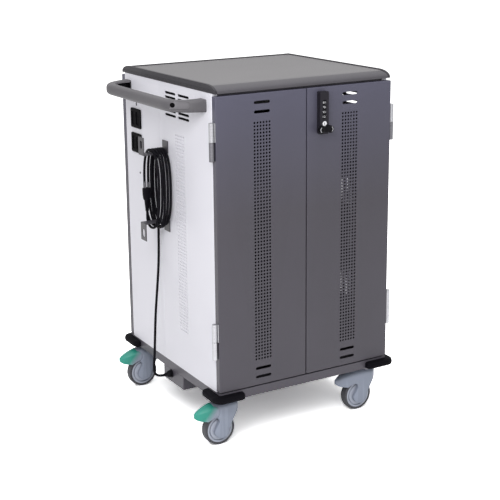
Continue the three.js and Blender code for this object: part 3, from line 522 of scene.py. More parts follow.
# The mains cord: out of the gland, up to the hank, wound on the two hooks, and into the plug
CORD_DIAMETER = 8 * MM
LOOP_COUNT = 5
LOOP_PITCH = 8.8 * MM
LAST_LOOP_SPREAD = 3 * MM
LOOP_UNEVENNESS = 0.1
LOOP_RHYTHM = 2.06
LOOP_SLACK = 9 * MM
LOOP_HALF_WIDTH = 51 * MM
LOOP_BEND = 40 * MM
LOOP_FULLNESS = 2.5
FIRST_LOOP_OUT = 9 * MM
PLUG_BEND = 24 * MM
SEAT = 0.3 * MM
HOOK_SHEET = 3 * MM
LOOP_STEPS = 24
BEND_STEPS = 6
ROUTE_STEPS = 6
RUN_OFFSETS = (
    (0, 0, 0),
    (8, 0, 0),
    (24, -1, 4),
    (36, -5, 16),
    (40, -9, 34),
    (37, -10, 80),
    (23, 4, 200),
    (-11, 42, 360),
)

panel_low, panel_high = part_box("side_panel_left")
wall_x = panel_low.x
hook_low, hook_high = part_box("cord_hook_lower")
upper_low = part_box("cord_hook_upper")[0]
hook_width = hook_high.y - hook_low.y
hook_y = (hook_low.y + hook_high.y) / 2
panel_middle = (panel_low.y + panel_high.y) / 2
lower_arm = hook_high.z - HOOK_SHEET
upper_arm = upper_low.z + HOOK_SHEET


def catmull(points, count):
    """Points spread evenly in parameter on a smooth curve through the given ones."""
    padded = [points[0] * 2 - points[1], *points, points[-1] * 2 - points[-2]]
    dense = []
    for a, b, c, d in zip(padded, padded[1:], padded[2:], padded[3:]):
        knots = [0.0]
        for p, q in ((a, b), (b, c), (c, d)):
            knots.append(knots[-1] + math.sqrt((q - p).length))
        t0, t1, t2, t3 = knots
        for i in range(count):
            t = t1 + (t2 - t1) * i / count
            ab = a.lerp(b, (t - t0) / (t1 - t0))
            bc = b.lerp(c, (t - t1) / (t2 - t1))
            cd = c.lerp(d, (t - t2) / (t3 - t2))
            abc = ab.lerp(bc, (t - t0) / (t2 - t0))
            bcd = bc.lerp(cd, (t - t1) / (t3 - t1))
            dense.append(abc.lerp(bcd, (t - t1) / (t2 - t1)))
    return [*dense, points[-1]]


def hank_points():
    steps = LOOP_STEPS
    inside = LOOP_BEND * math.cos(math.pi / steps) - CORD_DIAMETER / 2
    bottom = lower_arm - SEAT + math.sqrt(inside ** 2 - (hook_width / 2) ** 2) - LOOP_BEND
    middle = (upper_arm + lower_arm) / 2
    points = []

    def add(y, z):
        turns = max(0, len(points) - 2) / steps
        late = min(max(turns - (LOOP_COUNT - 2), 0), 1)
        spread = LAST_LOOP_SPREAD * late * late * (3 - 2 * late)
        points.append(Vector((wall_x - FIRST_LOOP_OUT - LOOP_PITCH * turns - spread, hook_y + y, z)))

    def swell(value):
        return signed_power(value, 2 / LOOP_FULLNESS)

    def sway(i):
        return 0.5 + math.sin(LOOP_RHYTHM * i / steps) / 2

    def across(i):
        widest = LOOP_HALF_WIDTH * (1 + LOOP_UNEVENNESS * sway(i))
        return widest * swell(math.cos(2 * math.pi * i / steps))

    def slack(i):
        return LOOP_SLACK * (1 - sway(i))

    def height(i):
        rise = math.sin(2 * math.pi * i / steps)
        return middle + (middle - bottom + (slack(i) if rise < 0 else 0)) * swell(rise)

    first = -steps // 12
    last = steps * LOOP_COUNT - steps // 4 - 1
    for lift in (-2, -1, 2):
        add(across(first), bottom + lift * CORD_DIAMETER)
    for i in range(first, last + 1):
        add(across(i), height(i))
    for i in range(BEND_STEPS + 1):
        angle = math.pi * (i - BEND_STEPS) / (2 * BEND_STEPS)
        add(PLUG_BEND * math.cos(angle), bottom - slack(last) + PLUG_BEND * (1 + math.sin(angle)))
    end = points[-1]
    points.append(end + Vector((0, 0, 2 * CORD_DIAMETER)))
    points.append(end + Vector((0, 0, 3 * CORD_DIAMETER)))
    return points


def run_points():
    low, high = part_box("cord_gland")
    start = (low + high) / 2
    start.x = low.x - SEAT
    return [start + Vector((-out, along, up)) * MM for out, along, up in RUN_OFFSETS]


def build_cord():
    hank = hank_points()
    route = catmull([*run_points(), *hank], ROUTE_STEPS)
    curve = bpy.data.curves.new("mains_cord", "CURVE")
    curve.dimensions = "3D"
    curve.bevel_depth = CORD_DIAMETER / 2
    curve.bevel_resolution = 4
    curve.use_fill_caps = True
    spline = curve.splines.new("POLY")
    spline.points.add(len(route) - 1)
    for point, place in zip(spline.points, route):
        point.co = (*place, 1.0)
    spline.use_smooth = True
    cord = placed("mains_cord", curve)
    curve.materials.append(cord_jacket)
    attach(cord, "cabinet")
    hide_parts("cord_hank", "cord_run")
    plug = build_plug(hank[-1])


# Plug sizes in millimetres: rings of (height, half width across, half width along the panel)
RING_SIDES = 32
PLUG_ROUNDNESS = 0.7
PLUG_RIBS = 9
RIB_PITCH = 3.2
PLUG_SHOULDER = ((31, 7, 6.8), (36, 10, 8.4), (42, 11.6, 9.3), (56, 12.7, 9.8), (66, 13, 10))
PLUG_FACE = ((70, 12.7, 9.7), (71.4, 12.2, 9.2), (72, 11.2, 8.2))
PIN_PROFILE = ((0, 70), (2.4, 70), (2.4, 90.5), (1.5, 92.2), (0, 92.2))
BLADE_SPACING = 6.35
BLADE_HALF_WIDTH = 0.8
BLADE_REACH = (70, 89.2)
BLADE_SPAN = (-6, 0.4)
PIN_OFFSET = 6


def build_plug(end):
    def ring(z, half_x, half_y):
        flat = squared_ring(half_x * MM, half_y * MM, PLUG_ROUNDNESS, RING_SIDES)
        return [end + Vector((x, y, SEAT + z * MM)) for x, y in flat]

    rings = [ring(0, 5.0, 5.0)]
    for i in range(PLUG_RIBS):
        base = 1 + RIB_PITCH * i
        wide = 5.4 + 0.12 * i
        rings += [ring(base, wide, wide), ring(base + 1.5, wide, wide)]
        rings += [ring(base + 1.7, wide - 1, wide - 1), ring(base + 3, wide - 1, wide - 1)]
    rings += [ring(*size) for size in (*PLUG_SHOULDER, *PLUG_FACE)]
    plug = loft("mains_plug_body", rings)
    dress(plug, cord_jacket, "cabinet", "black_plastic", "mains_plug", angle=40)
    blades = []
    for side in (-1, 1):
        x = side * BLADE_SPACING
        low = Vector((x - BLADE_HALF_WIDTH, BLADE_SPAN[0], BLADE_REACH[0])) * MM
        high = Vector((x + BLADE_HALF_WIDTH, BLADE_SPAN[1], BLADE_REACH[1])) * MM
        blade = block("blade", end + low, end + high)
        blades.append(round_edges(blade, 0.3 * MM))
    pin = lathe("pin", scaled_profile(PIN_PROFILE), 24)
    pin.location = (end.x, end.y + PIN_OFFSET * MM, end.z)
    bpy.context.view_layer.update()
    dress(join("mains_plug_pins", [*blades, pin]), dull_and_shaded_zinc, "cabinet", "bright_steel")
    return plug


build_cord()


# Rows of round holes punched through a sheet
HOLE_PITCH = 10 * MM
DOOR_HOLE_RADIUS = 3.3 * MM
SIDE_HOLE_RADIUS = 2.9 * MM
HOLE_COLUMNS = 6
HOLE_SIDES = 10


def punch(obj, turn, radius, cx, low, high, depth_low, depth_high):
    rows = round((high - low) / HOLE_PITCH)
    pitch = (high - low) / rows
    bm = bmesh.new()
    for column in range(HOLE_COLUMNS):
        x = cx + (column - (HOLE_COLUMNS - 1) / 2) * HOLE_PITCH
        for row in range(rows + 1):
            z = low + row * pitch
            rings = []
            for depth in (depth_low, depth_high):
                ring = []
                for i in range(HOLE_SIDES):
                    angle = 2 * math.pi * i / HOLE_SIDES
                    flat = (x + radius * math.cos(angle), z + radius * math.sin(angle), depth)
                    ring.append(bm.verts.new(turn @ Vector(flat)))
                rings.append(ring)
            for i in range(HOLE_SIDES):
                j = (i + 1) % HOLE_SIDES
                bm.faces.new((rings[0][i], rings[0][j], rings[1][j], rings[1][i]))
            bm.faces.new(rings[0])
            bm.faces.new(rings[1])
    carve(obj, new_object("punch", bm))


def on_rim(edge, low, high, face_y):
    """An edge of a door's outer face, or a corner that runs back from it."""
    a, b = (vert.co for vert in edge.verts)
    limits = ((0, (low.x, high.x)), (2, (low.z, high.z)))
    on_face = near(a.y, face_y) and near(b.y, face_y)
    straight = [near(a[axis], b[axis]) for axis, _ in limits]
    at_limit = [any(near(a[axis], value) for value in pair) for axis, pair in limits]
    if on_face and any(line and limit for line, limit in zip(straight, at_limit)):
        return True
    return not near(a.y, b.y) and all(at_limit) and all(straight)


def on_fold(edge, low, high, face):
    """An upright outer edge where a side panel's sheet turns inwards."""
    a, b = (vert.co for vert in edge.verts)
    upright = near(a.x, b.x) and near(a.y, b.y)
    return upright and near(a.x, face) and (near(a.y, low.y) or near(a.y, high.y))


PANEL_FOLD = 3.5 * MM
DOOR_HOLES = (261 * MM, 974 * MM)
SIDE_HOLES = (306 * MM, 914 * MM)
SIDE_HOLES_BACK = -89 * MM
SEAM_BACK = 45 * MM
SEAM_HALF_WIDTH = 0.7 * MM
SEAM_DEPTH = 0.9 * MM
DOOR_EDGE = 2.2 * MM
DOOR_SKIN = 3 * MM
PANEL_SKIN = 4 * MM


def build_doors():
    for side in ("left", "right"):
        node = f"door_{side}"
        low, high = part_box(node)
        door = from_node(node, f"{side}_door_leaf")
        round_edges(door, DOOR_EDGE, 4, lambda edge: on_rim(edge, low, high, low.y))
        middle = (low.x + high.x) / 2
        punch(door, ALONG_Y, DOOR_HOLE_RADIUS, middle, *DOOR_HOLES, low.y - MM, low.y + DOOR_SKIN)
        dress(door, door_coat, node, "charcoal_paint", node)
    low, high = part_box("door_rear")
    rear = from_node("door_rear", "rear_door_leaf")
    round_edges(rear, DOOR_EDGE, 4, lambda edge: on_rim(edge, low, high, high.y))
    for side in ("left", "right"):
        front_low, front_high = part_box(f"door_{side}")
        middle = (front_low.x + front_high.x) / 2
        punch(rear, ALONG_Y, DOOR_HOLE_RADIUS, middle, *DOOR_HOLES, high.y - DOOR_SKIN, high.y + MM)
    dress(rear, door_coat, "door_rear", "charcoal_paint", "door_rear")


def build_panels():
    for side, inward in (("left", 1), ("right", -1)):
        node = f"side_panel_{side}"
        low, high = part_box(node)
        face = low.x if side == "left" else high.x
        panel = from_node(node, f"{side}_side_panel")
        round_edges(panel, PANEL_FOLD, 5, lambda edge: on_fold(edge, low, high, face))
        middle = (low.y + high.y) / 2
        reach = sorted((face - inward * MM, face + inward * PANEL_SKIN))
        punch(panel, ALONG_X, SIDE_HOLE_RADIUS, middle + SIDE_HOLES_BACK, *SIDE_HOLES, *reach)
        left, right = sorted((face - inward * MM, face + inward * SEAM_DEPTH))
        seam = middle + SEAM_BACK
        groove = block("groove", (left, seam - SEAM_HALF_WIDTH, low.z - MM),
                       (right, seam + SEAM_HALF_WIDTH, high.z + MM))
        carve(panel, groove)
        dress(panel, white_coat, "cabinet", "white_paint", node)


build_doors()
build_panels()


# Worktop: a board with drooping front and rear noses, closed at each end by a dark cap with a low rim
NOSE_DEPTH = 55 * MM
NOSE_LIP = 4 * MM
NOSE_EDGE = 1.5 * MM
NOSE_STEPS = 16
RIM_WIDTH = 9 * MM
RIM_HEIGHT = 3 * MM
RIM_ROOT = 4 * MM
RIM_INSET = 0.2 * MM
RIM_EDGE = 1.4 * MM
CAP_EDGE = 1.6 * MM
CAP_GROOVE = 0.9 * MM
CAP_GROOVE_UP = 9 * MM


def lid_profile(low, high, top):
    nose = top - low.z - NOSE_LIP
    points = [(high.y, low.z), (low.y, low.z)]
    for y, start in ((low.y + NOSE_DEPTH, math.pi), (high.y - NOSE_DEPTH, math.pi / 2)):
        for i in range(NOSE_STEPS + 1):
            angle = start - (math.pi / 2) * i / NOSE_STEPS
            points.append((y + NOSE_DEPTH * math.cos(angle), low.z + NOSE_LIP + nose * math.sin(angle)))
    return points


def build_worktop():
    low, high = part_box("worktop")
    profile = lid_profile(low, high, high.z - RIM_HEIGHT)
    board = prism("worktop_board", profile, low.x + RIM_WIDTH, high.x - RIM_WIDTH, ALONG_X)
    dress(board, lid_coat, "cabinet", "worktop_grey", "worktop")
    # The drooping noses take the darker copy of the lid's grey: painted shade
    tint(board, nose_coat, lambda centre: centre.z < high.z - RIM_HEIGHT - NOSE_EDGE)
    for side, x0 in (("left", low.x), ("right", high.x - RIM_WIDTH)):
        cap = prism(f"worktop_cap_{side}", lid_profile(low, high, high.z), x0, x0 + RIM_WIDTH, ALONG_X)
        round_edges(cap, CAP_EDGE, 3, angle=60)
        outer = low.x if side == "left" else high.x
        middle = low.z + CAP_GROOVE_UP
        groove = block("groove", (outer - CAP_GROOVE, low.y + NOSE_DEPTH / 3, middle - CAP_GROOVE),
                       (outer + CAP_GROOVE, high.y - NOSE_DEPTH / 3, middle + CAP_GROOVE))
        carve(cap, groove)
        dress(cap, lid_end_coat, "cabinet", "worktop_grey")
    flat = high.y - NOSE_DEPTH
    rim = block("worktop_rear_rim", (low.x + RIM_WIDTH, flat, high.z - RIM_HEIGHT - RIM_ROOT),
                (high.x - RIM_WIDTH, flat + RIM_WIDTH, high.z - RIM_INSET))
    round_edges(rim, RIM_EDGE, 3)
    dress(rim, lid_end_coat, "cabinet", "worktop_grey")


build_worktop()


RAIL_SOCKETS = 8
SOCKET_PROUD = 1.2 * MM


# Plain carried-over pieces get rounded edges and their own finishes
def refine(node, material, slot, body="cabinet", width=0.6, segments=2, angle=40):
    piece = from_node(node, f"{node}_rounded")
    round_edges(piece, width * MM, segments, angle=angle)
    dress(piece, material, body, slot, node)
    return piece


for name in ("base_frame", "base_beam"):
    refine(name, charcoal, "charcoal_paint", width=1.2, segments=3, angle=60)
refine("bulkhead", inner_white, "white_paint")
for level in ("lower", "middle", "upper"):
    refine(f"shelf_{level}", hook_coat, "bracket_grey", width=0.5)
    rail = refine(f"outlet_rail_{level}", black_plastic, "black_plastic", width=1.0)
    rail_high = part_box(f"outlet_rail_{level}")[1]
    tint(rail, socket_grey, lambda centre: centre.y > rail_high.y - SOCKET_PROUD)
for side in ("left", "right", "rear"):
    for level in ("lower", "upper"):
        # The upper hinges' fixed halves take the darker zinc as painted shade
        fixed_zinc_shade_by_level = zinc if level == "lower" else dull_and_shaded_zinc
        refine(f"hinge_fixed_{side}_{level}", fixed_zinc_shade_by_level, "bright_steel", width=0.5, angle=50)
        if side != "rear":
            leaf = f"door_{side}"
            refine(f"hinge_{leaf}_{level}", zinc, "bright_steel", leaf, width=0.5, angle=50)
for name in ("cord_hook_upper", "cord_hook_lower"):
    refine(name, hook_coat, "bracket_grey", width=0.8, segments=3)
for name in ("power_outlet_upper", "power_outlet_lower"):
    refine(name, outlet_black, "black_plastic", width=0.8, segments=3)


# Strain relief of the cord: flange, six-sided nut, dome and a tapered boot, in millimetres
GLAND_PROFILE = (
    (0, 0), (13.5, 0), (13.5, 1.6), (12.6, 2.4), (10, 2.4), (10, 9.5), (10.6, 10), (10.2, 12),
    (8.8, 14.5), (6.9, 16.5), (6.2, 18), (5.4, 21.5), (4.9, 24.2), (4.3, 25), (0, 25),
)
NUT_RADIUS = 12.5 * MM
NUT_SPAN = (2.2 * MM, 9.8 * MM)


def build_gland():
    low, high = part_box("cord_gland")
    place = (low + high) / 2
    place.x = high.x
    boot = lathe("boot", scaled_profile(GLAND_PROFILE), 48)
    nut = prism("nut", circle(0, 0, NUT_RADIUS, count=6), *NUT_SPAN)
    round_edges(nut, 0.6 * MM)
    bpy.context.view_layer.update()
    gland = join("cord_strain_relief", [boot, nut])
    gland.data.transform(Matrix.Translation(place) @ Matrix.Rotation(-math.pi / 2, 4, "Y"))
    dress(gland, black_plastic, "cabinet", "black_plastic", "cord_gland")


build_gland()


# Push handle: a bar whose arms swell into feet on the panel, hollow inside, with recessed fixings
GRIP = 34 * MM
FOOT_WIDTH = 42 * MM
FOOT_HEIGHT = 37 * MM
ARM_BEND = 76 * MM
ARM_STEPS = 24
POCKET_LENGTH = 50 * MM
POCKET_HEIGHT = 23 * MM
POCKET_BACK = 2 * MM
POCKET_MARGIN = 0.1 * MM
RECESS_SLOPE = math.radians(38)
RECESS_LENGTH = 62 * MM
RECESS_UP = 4 * MM
RECESS_FLOOR = 3.6 * MM
RECESS_WIDTH = 22 * MM
RECESS_OUT = 71 * MM
HOLE_ALONG = -20 * MM
HOLE_WIDTH = 15 * MM
HOLE_FLOOR = 10 * MM
SCREW_WIDTH = 14.2 * MM
SCREW_SPAN = (6.5 * MM, 9 * MM)
GRIP_ROUNDNESS = 0.75
FOOT_ROUNDNESS = 0.25


def bezier(a, b, c, d, t):
    u = 1 - t
    return a * u ** 3 + b * (3 * u * u * t) + c * (3 * u * t * t) + d * t ** 3


def handle_form(panel, bar_x, foot):
    reach = panel - bar_x
    stops = [Vector((panel, -foot, 0)), Vector((panel - reach / 2, -foot, 0)),
             Vector((bar_x, -foot + ARM_BEND / 5, 0)), Vector((bar_x, -foot + ARM_BEND, 0))]
    half = [bezier(*stops, i / ARM_STEPS) for i in range(ARM_STEPS + 1)]
    points = half + [Vector((point.x, -point.y, 0)) for point in reversed(half)]
    rings = []
    for i, point in enumerate(points):
        from_foot = min(i, len(points) - 1 - i) / ARM_STEPS
        swell = (1 - from_foot) ** 2
        half_height = (GRIP + (FOOT_HEIGHT - GRIP) * swell) / 2
        half_across = (GRIP + (FOOT_WIDTH - GRIP) * swell) / 2
        if i in (0, len(points) - 1):
            along = Vector((-1 if i == 0 else 1, 0, 0))
        else:
            along = (points[i + 1] - points[i - 1]).normalized()
        across = Vector((0, 0, 1)).cross(along)
        power = GRIP_ROUNDNESS + (FOOT_ROUNDNESS - GRIP_ROUNDNESS) * swell
        flat = squared_ring(half_across, half_height, power, RING_SIDES, 0.5)
        rings.append([point + across * x + Vector((0, 0, y)) for x, y in flat])
    return loft("push_handle_bar", rings)


def build_handle():
    low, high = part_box("push_handle")
    panel = high.x
    middle = (low + high) / 2
    middle.x = 0
    foot = (high.y - low.y) / 2 - FOOT_WIDTH / 2
    bar_x = low.x + GRIP / 2
    handle = handle_form(panel, bar_x, foot)
    corner = Vector((panel - RECESS_OUT, -foot + ARM_BEND / 8, RECESS_UP))
    turn = Matrix.Rotation(-RECESS_SLOPE, 3, "Z")
    fixings = []
    for side in (-1, 1):
        near_y, far_y = sorted((side * foot, side * (foot - FOOT_WIDTH)))
        pocket = block("pocket", (panel - POCKET_LENGTH, near_y, -POCKET_HEIGHT / 2),
                       (panel - POCKET_BACK, far_y, POCKET_HEIGHT / 2))
        round_edges(pocket, 2 * MM)
        carve(handle, pocket)
        outline = stadium(0, 0, RECESS_LENGTH, RECESS_WIDTH)
        recess = prism("recess", outline, -FOOT_WIDTH, RECESS_FLOOR, ALONG_Y)
        outline = stadium(HOLE_ALONG, 0, HOLE_WIDTH, HOLE_WIDTH)
        hole = prism("hole", outline, -FOOT_WIDTH, HOLE_FLOOR, ALONG_Y)
        outline = stadium(HOLE_ALONG, 0, SCREW_WIDTH, SCREW_WIDTH)
        screw = prism("screw", outline, *SCREW_SPAN, ALONG_Y)
        for tool in (recess, hole, screw):
            tool.data.transform(turn.to_4x4())
            tool.data.transform(Matrix.Translation(corner))
            tool.data.transform(Matrix.Scale(-side, 4, (0, 1, 0)))
            if side > 0:
                tool.data.flip_normals()
        carve(handle, recess)
        carve(handle, hole)
        fixings.append(screw)
    round_edges(handle, 0.7 * MM, 2, angle=55)
    handle.data.transform(Matrix.Translation(middle))
    dress(handle, grip_plastic, "cabinet", "grip_grey", "push_handle", angle=40)

    def in_pocket(centre):
        local = centre - middle
        along = panel - POCKET_LENGTH - MM < local.x < panel - POCKET_BACK + POCKET_MARGIN
        across = foot - FOOT_WIDTH < abs(local.y) < foot + POCKET_MARGIN
        return along and across and abs(local.z) < POCKET_HEIGHT / 2 + POCKET_MARGIN

    def in_recess(centre):
        local = centre - middle
        flat = turn.inverted() @ (Vector((local.x, -abs(local.y), local.z)) - corner)
        return abs(flat.y - RECESS_FLOOR) < 0.4 * MM and abs(flat.x) < RECESS_LENGTH / 2

    # The pocket's faces are painted black: painted shade inside the hollow arms
    tint(handle, black_plastic, in_pocket)
    tint(handle, recess_plastic, in_recess)
    screws = join("push_handle_screws", fixings)
    screws.data.transform(Matrix.Translation(middle))
    dress(screws, deep_black, "cabinet", "black_plastic")


build_handle()


# Lock: dials with ten figures each, a bright key cylinder and a wing knob with a saddle, whose lobes
# carry bright zinc strips as painted highlights
DIAL_FACETS = 10
DIAL_RADIUS = 8 * MM
KNOB_SPAN = 50 * MM
KNOB_HEIGHT = 22 * MM
# Bright zinc strips on the lobe ends stand in for the lobes' glints: painted highlights
GLINT_STRIP_RADIUS = 8.6 * MM
GLINT_STRIP_WIDTH = 2.2 * MM
GLINT_STRIP_HALF_ANGLE = 1.1
GLINT_STRIP_INSET = 0.1 * MM
GLINT_STRIP_BED = 0.8 * MM
SADDLE_RADIUS = 22 * MM
SADDLE_DEPTH = 5.5 * MM
KNOB_EDGE = 2 * MM
KNOB_WING_DEPTH = 12 * MM
FIGURE_SIZE = 8.5 * MM
FIGURE_RELIEF = 0.08 * MM
FIRST_FIGURES = (3, 8, 5, 2)


def figure_mesh(figure):
    curve = bpy.data.curves.new("figure", "FONT")
    curve.body = str(figure)
    curve.size = FIGURE_SIZE
    curve.extrude = FIGURE_RELIEF
    curve.align_x = "CENTER"
    curve.align_y = "CENTER"
    text = placed("figure", curve)
    mesh = bpy.data.meshes.new_from_object(text.evaluated_get(bpy.context.evaluated_depsgraph_get()))
    bpy.data.objects.remove(text)
    return mesh


def build_dial(number, first_figure):
    node = f"lock_dial_{number}"
    refine(node, black_plastic, "black_plastic", node, width=0.5)
    low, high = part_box(node)
    centre = (low + high) / 2
    apothem = DIAL_RADIUS * math.cos(math.pi / DIAL_FACETS)
    figures = []
    for k in range(DIAL_FACETS):
        angle = 2 * math.pi * k / DIAL_FACETS
        outward = Vector((math.sin(angle), -math.cos(angle), 0))
        tangent = Vector((math.cos(angle), math.sin(angle), 0))
        place = Matrix.Translation(centre + outward * apothem)
        place = place @ Matrix((tangent, Vector((0, 0, 1)), outward)).transposed().to_4x4()
        mesh = figure_mesh((first_figure + k) % 10)
        mesh.transform(place)
        figures.append(placed("figure", mesh))
    dress(join(f"{node}_figures", figures), digit_paint, node, "white_paint")


def build_lock():
    refine("lock_body", lock_coat, "black_plastic", "door_right", width=1.4, segments=3, angle=60)
    for number, figure in enumerate(FIRST_FIGURES, 1):
        build_dial(number, figure)
    refine("lock_cylinder", bright_steel, "bright_steel", "lock_cylinder", width=0.5, angle=60)
    low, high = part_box("lock_knob")
    knob = from_node("lock_knob", "wing_knob")
    x, _, z = joints["lock_knob_turn"]["pos_m"]
    saddle = circle(x, low.y - SADDLE_RADIUS + SADDLE_DEPTH, SADDLE_RADIUS)
    carve(knob, prism("saddle", saddle, low.z, high.z))
    front = low.y + KNOB_WING_DEPTH
    round_edges(knob, KNOB_EDGE, 4, lambda edge: edge.verts[0].co.y < front, angle=50)
    # Painted highlights: bright strips set into each lobe's end
    glint_strips = []
    for side in (-1, 1):
        lobe_x = x + side * (KNOB_SPAN - KNOB_HEIGHT) / 2
        facing = 0 if side > 0 else math.pi
        sweep = (facing - GLINT_STRIP_HALF_ANGLE, facing + GLINT_STRIP_HALF_ANGLE, 16)
        arc = circle(lobe_x, z, GLINT_STRIP_RADIUS, *sweep)
        arc += reversed(circle(lobe_x, z, GLINT_STRIP_RADIUS - GLINT_STRIP_WIDTH, *sweep))
        carve(knob, prism("bed", arc, low.y - MM, low.y + GLINT_STRIP_BED, ALONG_Y))
        glint_strips.append(prism("trim", arc, low.y + GLINT_STRIP_INSET, low.y + GLINT_STRIP_BED, ALONG_Y))
    dress(knob, knob_gloss, "lock_knob", "black_plastic", "lock_knob", angle=40)
    dress(join("wing_knob_trims", glint_strips), zinc, "lock_knob", "bright_steel")


build_lock()


# Casters, drawn in millimetres about the swivel axis with the wheel trailing towards +X
WHEEL_RADIUS = 50
HOOD_TOP = 138
HOOD_RADIUS = 32
HOOD_HALF_WIDTH = 28
BEAK_REACH = 116
BEAK_DROP = 29
LEG_RADIUS = 24
NOTCH_TOP = 95
TRAIL = 34
PIVOT = (58, 112)
KNUCKLE = 17
KNUCKLE_GAP = 0.9
FORK_CLEARANCE = 4.5
PEDAL_CLEARANCE = 10
CASTER_EDGE = 1.2
AXLE_RADIUS = 6
AXLE_OVERHANG = 4
SLOT_HALF_WIDTH = 15.5
CASTER_TOP = 147.7
CORNERS = ("front_left", "front_right", "rear_left", "rear_right")


# Reach, two powers of the plan and droop of the hood, behind the swivel and ahead of it
HOOD_BEHIND = (HOOD_RADIUS, 2, 0.5, 0.3)
HOOD_AHEAD = (BEAK_REACH, 2.4, 0.62, 1)
DROOP_POWER = 2.6
ARCH_SHARE = 0.6


def hood_ring(x):
    reach, bulge, taper, droop = HOOD_BEHIND if x < 0 else HOOD_AHEAD
    along = abs(x) / reach
    half = HOOD_HALF_WIDTH * (1 - along ** bulge) ** taper
    crown = HOOD_TOP - droop * BEAK_DROP * along ** DROOP_POWER
    arch = ARCH_SHARE * half
    angles = [math.pi * i / 24 for i in range(25)]
    arc = [(x, half * math.cos(a), crown - arch + arch * math.sin(a)) for a in angles]
    return [(x, half, 0), *arc, (x, -half, 0)]


def quadratic(a, b, c, count=14):
    points = []
    for i in range(1, count + 1):
        t = i / count
        u = 1 - t
        points.append(tuple(p * u ** 2 + 2 * q * t * u + r * t * t for p, q, r in zip(a, b, c)))
    return points


def fork_outline():
    notch = (TRAIL + LEG_RADIUS / 3, NOTCH_TOP - 15)
    points = [(TRAIL + LEG_RADIUS, WHEEL_RADIUS), notch]
    points += quadratic(notch, (TRAIL + LEG_RADIUS / 3, NOTCH_TOP), (PIVOT[0], NOTCH_TOP))
    points += [(TRAIL + 43, NOTCH_TOP - 10), (BEAK_REACH - 18, NOTCH_TOP - 6)]
    points += quadratic(points[-1], (BEAK_REACH, NOTCH_TOP - 2), (BEAK_REACH, HOOD_TOP - BEAK_DROP - 5))
    points += [(BEAK_REACH, CASTER_TOP)]
    points += [(-HOOD_RADIUS, CASTER_TOP), (-HOOD_RADIUS, HOOD_TOP - BEAK_DROP)]
    points += quadratic(points[-1], (-4, NOTCH_TOP - 3), (TRAIL - LEG_RADIUS, WHEEL_RADIUS))
    return points + circle(TRAIL, WHEEL_RADIUS, LEG_RADIUS, math.pi, 2 * math.pi, 32)[1:-1]


def hood_form(name):
    spread = [math.sin(0.45 * math.pi * i / 24) for i in range(25)]
    stations = [-HOOD_RADIUS * share for share in reversed(spread[3::3])]
    stations += [BEAK_REACH * share for share in spread]
    hood = loft(name, [hood_ring(x) for x in stations])
    return carve(hood, prism("side", fork_outline(), -HOOD_RADIUS, HOOD_RADIUS, ALONG_Y), "INTERSECT")


def cut_wheel_slot(obj, clearance):
    radius = WHEEL_RADIUS + clearance
    outline = circle(TRAIL, WHEEL_RADIUS, radius, count=72)
    carve(obj, prism("slot", outline, -SLOT_HALF_WIDTH, SLOT_HALF_WIDTH, ALONG_Y))
    below = block("slot", (TRAIL - radius, -SLOT_HALF_WIDTH, -1),
                  (TRAIL + radius, SLOT_HALF_WIDTH, WHEEL_RADIUS))
    carve(obj, below)


def beak_zone(radius):
    wide = HOOD_RADIUS + 1
    low = (PIVOT[0], -wide, WHEEL_RADIUS + LEG_RADIUS)
    zone = block("zone", low, (2 * BEAK_REACH, wide, CASTER_TOP))
    knuckle = prism("knuckle", circle(*PIVOT, radius), -wide + 0.5, wide - 0.5, ALONG_Y)
    return carve(zone, knuckle, "UNION")


def fork_template(braked):
    fork = hood_form("fork")
    cut_wheel_slot(fork, FORK_CLEARANCE)
    if braked:
        carve(fork, beak_zone(KNUCKLE + KNUCKLE_GAP))
    return round_edges(fork, CASTER_EDGE, 3, angle=50)


def pedal_template():
    pedal = carve(hood_form("pedal"), beak_zone(KNUCKLE), "INTERSECT")
    cut_wheel_slot(pedal, PEDAL_CLEARANCE)
    return round_edges(pedal, CASTER_EDGE, 3, angle=50)


TYRE_PROFILE = [(42.2, -12), (46.5, -13), (48.3, -12.7), (49.4, -11.6), (49.9, -9.8), (50, -6)]
HUB_PROFILE = [
    (6.3, -12), (31.6, -12), (32.6, -11.4), (33, -6), (35.8, -6),
    (36.2, -11.6), (37.2, -12.6), (40.4, -12.6), (41.6, -11.8),
]


# Heights of the neck are above the hood's top
NECK_PROFILE = [(0, -8), (22, -8), (22, 1), (25, 2), (25, 6), (23, 7)]


def wheel_template(name, half_profile):
    mirrored = [(radius, -height) for radius, height in reversed(half_profile)]
    wheel = lathe(name, half_profile + mirrored, 72)
    wheel.data.transform(Matrix.Rotation(math.pi / 2, 4, "X"))
    return wheel


def stem_template():
    profile = [(radius, HOOD_TOP + height) for radius, height in NECK_PROFILE]
    profile += [(profile[-1][0], CASTER_TOP), (0, CASTER_TOP)]
    end = SLOT_HALF_WIDTH + AXLE_OVERHANG
    axle = prism("axle", circle(TRAIL, WHEEL_RADIUS, AXLE_RADIUS, count=24), -end, end, ALONG_Y)
    return join("stem", [lathe("neck", profile, 48), axle])


def copy_of(template, name, place):
    mesh = template.data.copy()
    mesh.transform(place @ Matrix.Scale(MM, 4))
    return placed(name, mesh)


